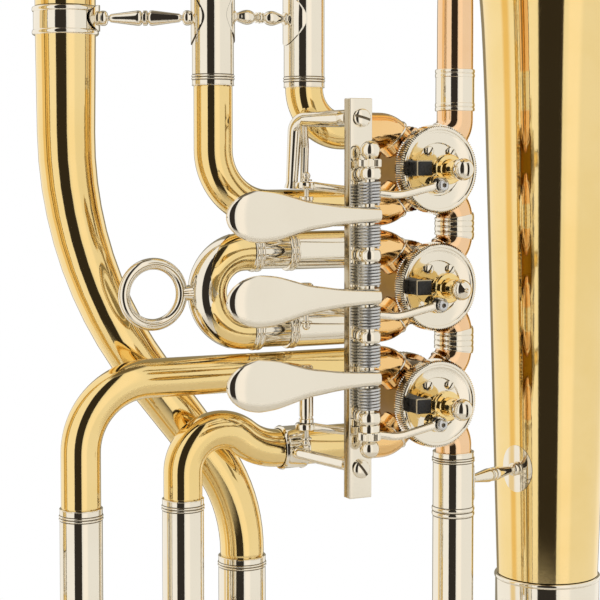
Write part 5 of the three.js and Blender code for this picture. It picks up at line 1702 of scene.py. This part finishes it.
@dataclass(frozen=True)
class Brace:
    """A baluster brace between the axes of two upright tubes, with a saddle plate at each end."""

    node: str
    one: Point
    one_radius: float
    two: Point
    two_radius: float
    baluster: Sequence[Pair] = LONG_BALUSTER
    reach: float = 15.95
    two_tall: float = 9.4

    def build(self) -> None:
        """Makes and dresses the brace."""
        part, one, two = Part(self.node), Vector(self.one), Vector(self.two)
        ahead = (two - one).normalized()
        low, high = self.one_radius + 0.2, (two - one).length - self.two_radius - 0.2
        middle, scale = (low + high) / 2, (high - low) / (2 * self.reach)
        half = smooth_through(self.baluster, 3)
        part.turn("post", [
            (0, low), *((radius, middle - away * scale) for away, radius in reversed(half)),
            *((radius, middle + away * scale) for away, radius in half[1:]), (0, high)], ahead, one, 40)
        for word, centre, way, radius, tall in (
            ("first", one, ahead, self.one_radius, 9.4),
            ("second", two, -ahead, self.two_radius, self.two_tall),
        ):
            plate = part.place(self.saddle(f"{self.node}_{word}_plate", centre, way, radius, tall))
            # Painted shade on the plate's edges, the faces that do not look away from the tube.
            paint_shade(plate, lambda middle, normal, axis=centre: abs(
                normal.dot(Vector((middle.x - axis.x, middle.y - axis.y, 0)).normalized())) < 0.6)

    @staticmethod
    def saddle(name: str, centre: Vector, way: Vector, radius: float, tall: float) -> Piece:
        """An oval plate that is bent round a tube.

        Args:
            name: Name of the piece.
            centre: Axis of the tube at the plate's height.
            way: Direction from the tube's axis to the plate.
            radius: Radius of the tube.
            tall: Half height of the plate.

        Returns:
            The plate.
        """
        wide = min(7.05, radius * 0.96)
        oval = turn(name, cylinder(wide, 0, radius + 8), way, centre, 64)
        with editing():
            bpy.ops.transform.resize(value=(1, 1, tall / wide), center_override=centre * MM)
        sheet = turn("cutter", cylinder(radius + 0.4, -12, 12, radius + 0.05), UP, centre, 96)
        cut(oval, sheet, "INTERSECT")
        return oval


@dataclass
class Studio:
    """Floor, lamps, white surround and the camera."""

    turn_angle: float = math.radians(26)
    distance: float = 600.0
    aside: float = -44.625
    eye_z: float = 44.81
    lens: float = 96.3
    tilt: float = math.radians(2.68)
    shift_y: float = -0.1005
    floor_z: float = -287.5

    def build(self) -> None:
        """Sets up the studio."""
        self.camera()
        self.floor()
        self.lamps()
        self.surround()
        bpy.context.scene.view_settings.view_transform = "Standard"

    def camera(self) -> None:
        """The camera at the photograph's angle."""
        c, s = math.cos(self.turn_angle), math.sin(self.turn_angle)
        eye = Vector((c * self.aside - s * self.distance, -s * self.aside - c * self.distance,
                      self.eye_z))
        deselect_all()
        bpy.ops.object.camera_add(
            location=eye * MM, rotation=(math.pi / 2 - self.tilt, 0, -self.turn_angle))
        camera = bpy.context.object
        camera.name = "camera"
        camera.data.lens = self.lens
        camera.data.sensor_width = 36.0
        camera.data.shift_y = self.shift_y
        camera.data.clip_start = 0.01
        bpy.context.scene.camera = camera

    def floor(self) -> None:
        """A pale floor under the horn, which fades into the surround."""
        deselect_all()
        bpy.ops.mesh.primitive_plane_add(size=6.0, location=(0, 0, self.floor_z * MM))
        floor = bpy.context.object
        floor.name = "floor"
        material, sheet = new_material("pale_floor")
        paper = sheet.node("ShaderNodeBsdfPrincipled", inputs={
            "Base Color": (0.93, 0.92, 0.90, 1.0), "Roughness": 0.9})
        glow = sheet.node("ShaderNodeEmission", inputs={"Color": (1.0, 1.0, 1.0, 1.0), "Strength": 1.0})
        place = sheet.node("ShaderNodeTexCoord", output="Object")
        reach = sheet.node("ShaderNodeVectorMath", {"operation": "LENGTH"}, {0: place}, "Value")
        seen = sheet.node("ShaderNodeLightPath", output="Is Camera Ray")
        glossy = sheet.node("ShaderNodeLightPath", output="Is Glossy Ray")
        far = sheet.node("ShaderNodeMixShader", inputs={
            0: glossy, 1: glow, 2: sheet.node("ShaderNodeBsdfTransparent")})
        share = reach.step(0.25, 0.58) * (seen + glossy)
        mixed = sheet.node("ShaderNodeMixShader", inputs={0: share, 1: paper, 2: far})
        sheet.node("ShaderNodeOutputMaterial", inputs={"Surface": mixed})
        floor.data.materials.append(material)

    def lamps(self) -> None:
        """Large soft lamps over and beside the horn, which no metal mirrors."""
        for name, spot, size, power in (
            ("key_lamp", (0.9, -1.3, 1.1), 1.2, 3.0),
            ("fill_lamp", (-1.5, -0.8, 0.6), 1.4, 1.5),
            ("back_lamp", (0.3, 1.5, 1.0), 1.4, 2.0),
        ):
            deselect_all()
            bpy.ops.object.light_add(type="AREA", location=spot)
            lamp = bpy.context.object
            lamp.name = name
            lamp.data.shape = "DISK"
            lamp.data.size = size
            lamp.data.energy = power
            lamp.visible_glossy = False
            lamp.rotation_euler = (-Vector(spot)).to_track_quat("-Z", "Y").to_euler()

    def surround(self) -> None:
        """White surround with the dark slits of a light tent."""
        world = bpy.data.worlds.new("light_tent")
        bpy.context.scene.world = world
        world.use_nodes = True
        sheet = ShaderSheet(world.node_tree)
        way = sheet.node("ShaderNodeTexCoord", output="Generated")
        axes = sheet.node("ShaderNodeSeparateXYZ", inputs={0: way})
        x, y, z = (Socket(sheet, output) for output in axes.output.node.outputs)
        c, s = math.cos(self.turn_angle), math.sin(self.turn_angle)
        azimuth = (x * c - y * s).arctan2(x * -s + y * -c)
        steep = z.absolute()
        level = steep.step(0.94, 0.97, 1.0, 0.0)

        def strip(middle: float, half: float, fade: float) -> Socket:
            """An upright strip of the tent, from angles in degrees."""
            away = (azimuth - math.radians(middle)).absolute()
            return away.step(math.radians(half - fade), math.radians(half + fade), 1.0, 0.0) * level

        behind = azimuth.absolute().step(math.radians(150), math.radians(156)) * level
        tent: Value = (1.0, 0.97, 0.92)
        for share, colour in (
            (strip(68, 54, 8), (0.91, 0.885, 0.83)),
            (strip(30, 12, 5), (1.06, 1.0, 0.92)),
            (behind, (0.30, 0.27, 0.20)),
            (strip(-89, 7, 4), (0.90, 0.69, 0.36)),
            (strip(-9, 20.5, 1.5), (0.034, 0.029, 0.024)),
            (steep.step(0.93, 0.975), (0.16, 0.13, 0.09)),
        ):
            tent = sheet.blend(share, tent, colour)
        seen = sheet.node("ShaderNodeLightPath", output="Is Camera Ray")
        surface = sheet.node("ShaderNodeBackground", inputs={
            "Color": sheet.blend(seen, tent, (1.0, 1.0, 1.0)), "Strength": 1.0})
        sheet.node("ShaderNodeOutputWorld", inputs={"Surface": surface})


def main() -> None:
    """Builds the horn's sub-assemblies in order and sets up the studio."""
    logging.basicConfig(level=logging.INFO, format="%(name)s: %(message)s")
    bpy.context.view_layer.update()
    left, ferrule = (-83.5, 0, 96.7), BENCH.ferrule
    for part in (
        Studio(), Valve(1), Valve(2), Valve(3), MainWay(), FirstSlide(), SecondSlide(), ThirdSlide(),
        MainTube(), LeverWorks(),
        Brace("slide_1_brace", left, ferrule, (-48, 0, 96.7), ferrule, SHORT_BALUSTER, 10.25),
        Brace("left_brace", (-83.5, 0, 96), ferrule, (-129, 25, 96), 11.7, two_tall=4.6),
        Brace("right_brace", (15.3, 0, -76.5), 7.8, (74, 22, -76.5), 20.5 + 6.0 * (-76.5 + 122) / 192),
    ):
        part.build()
        LOG.info("built %s", type(part).__name__)


if __name__ == "__main__":
    main()
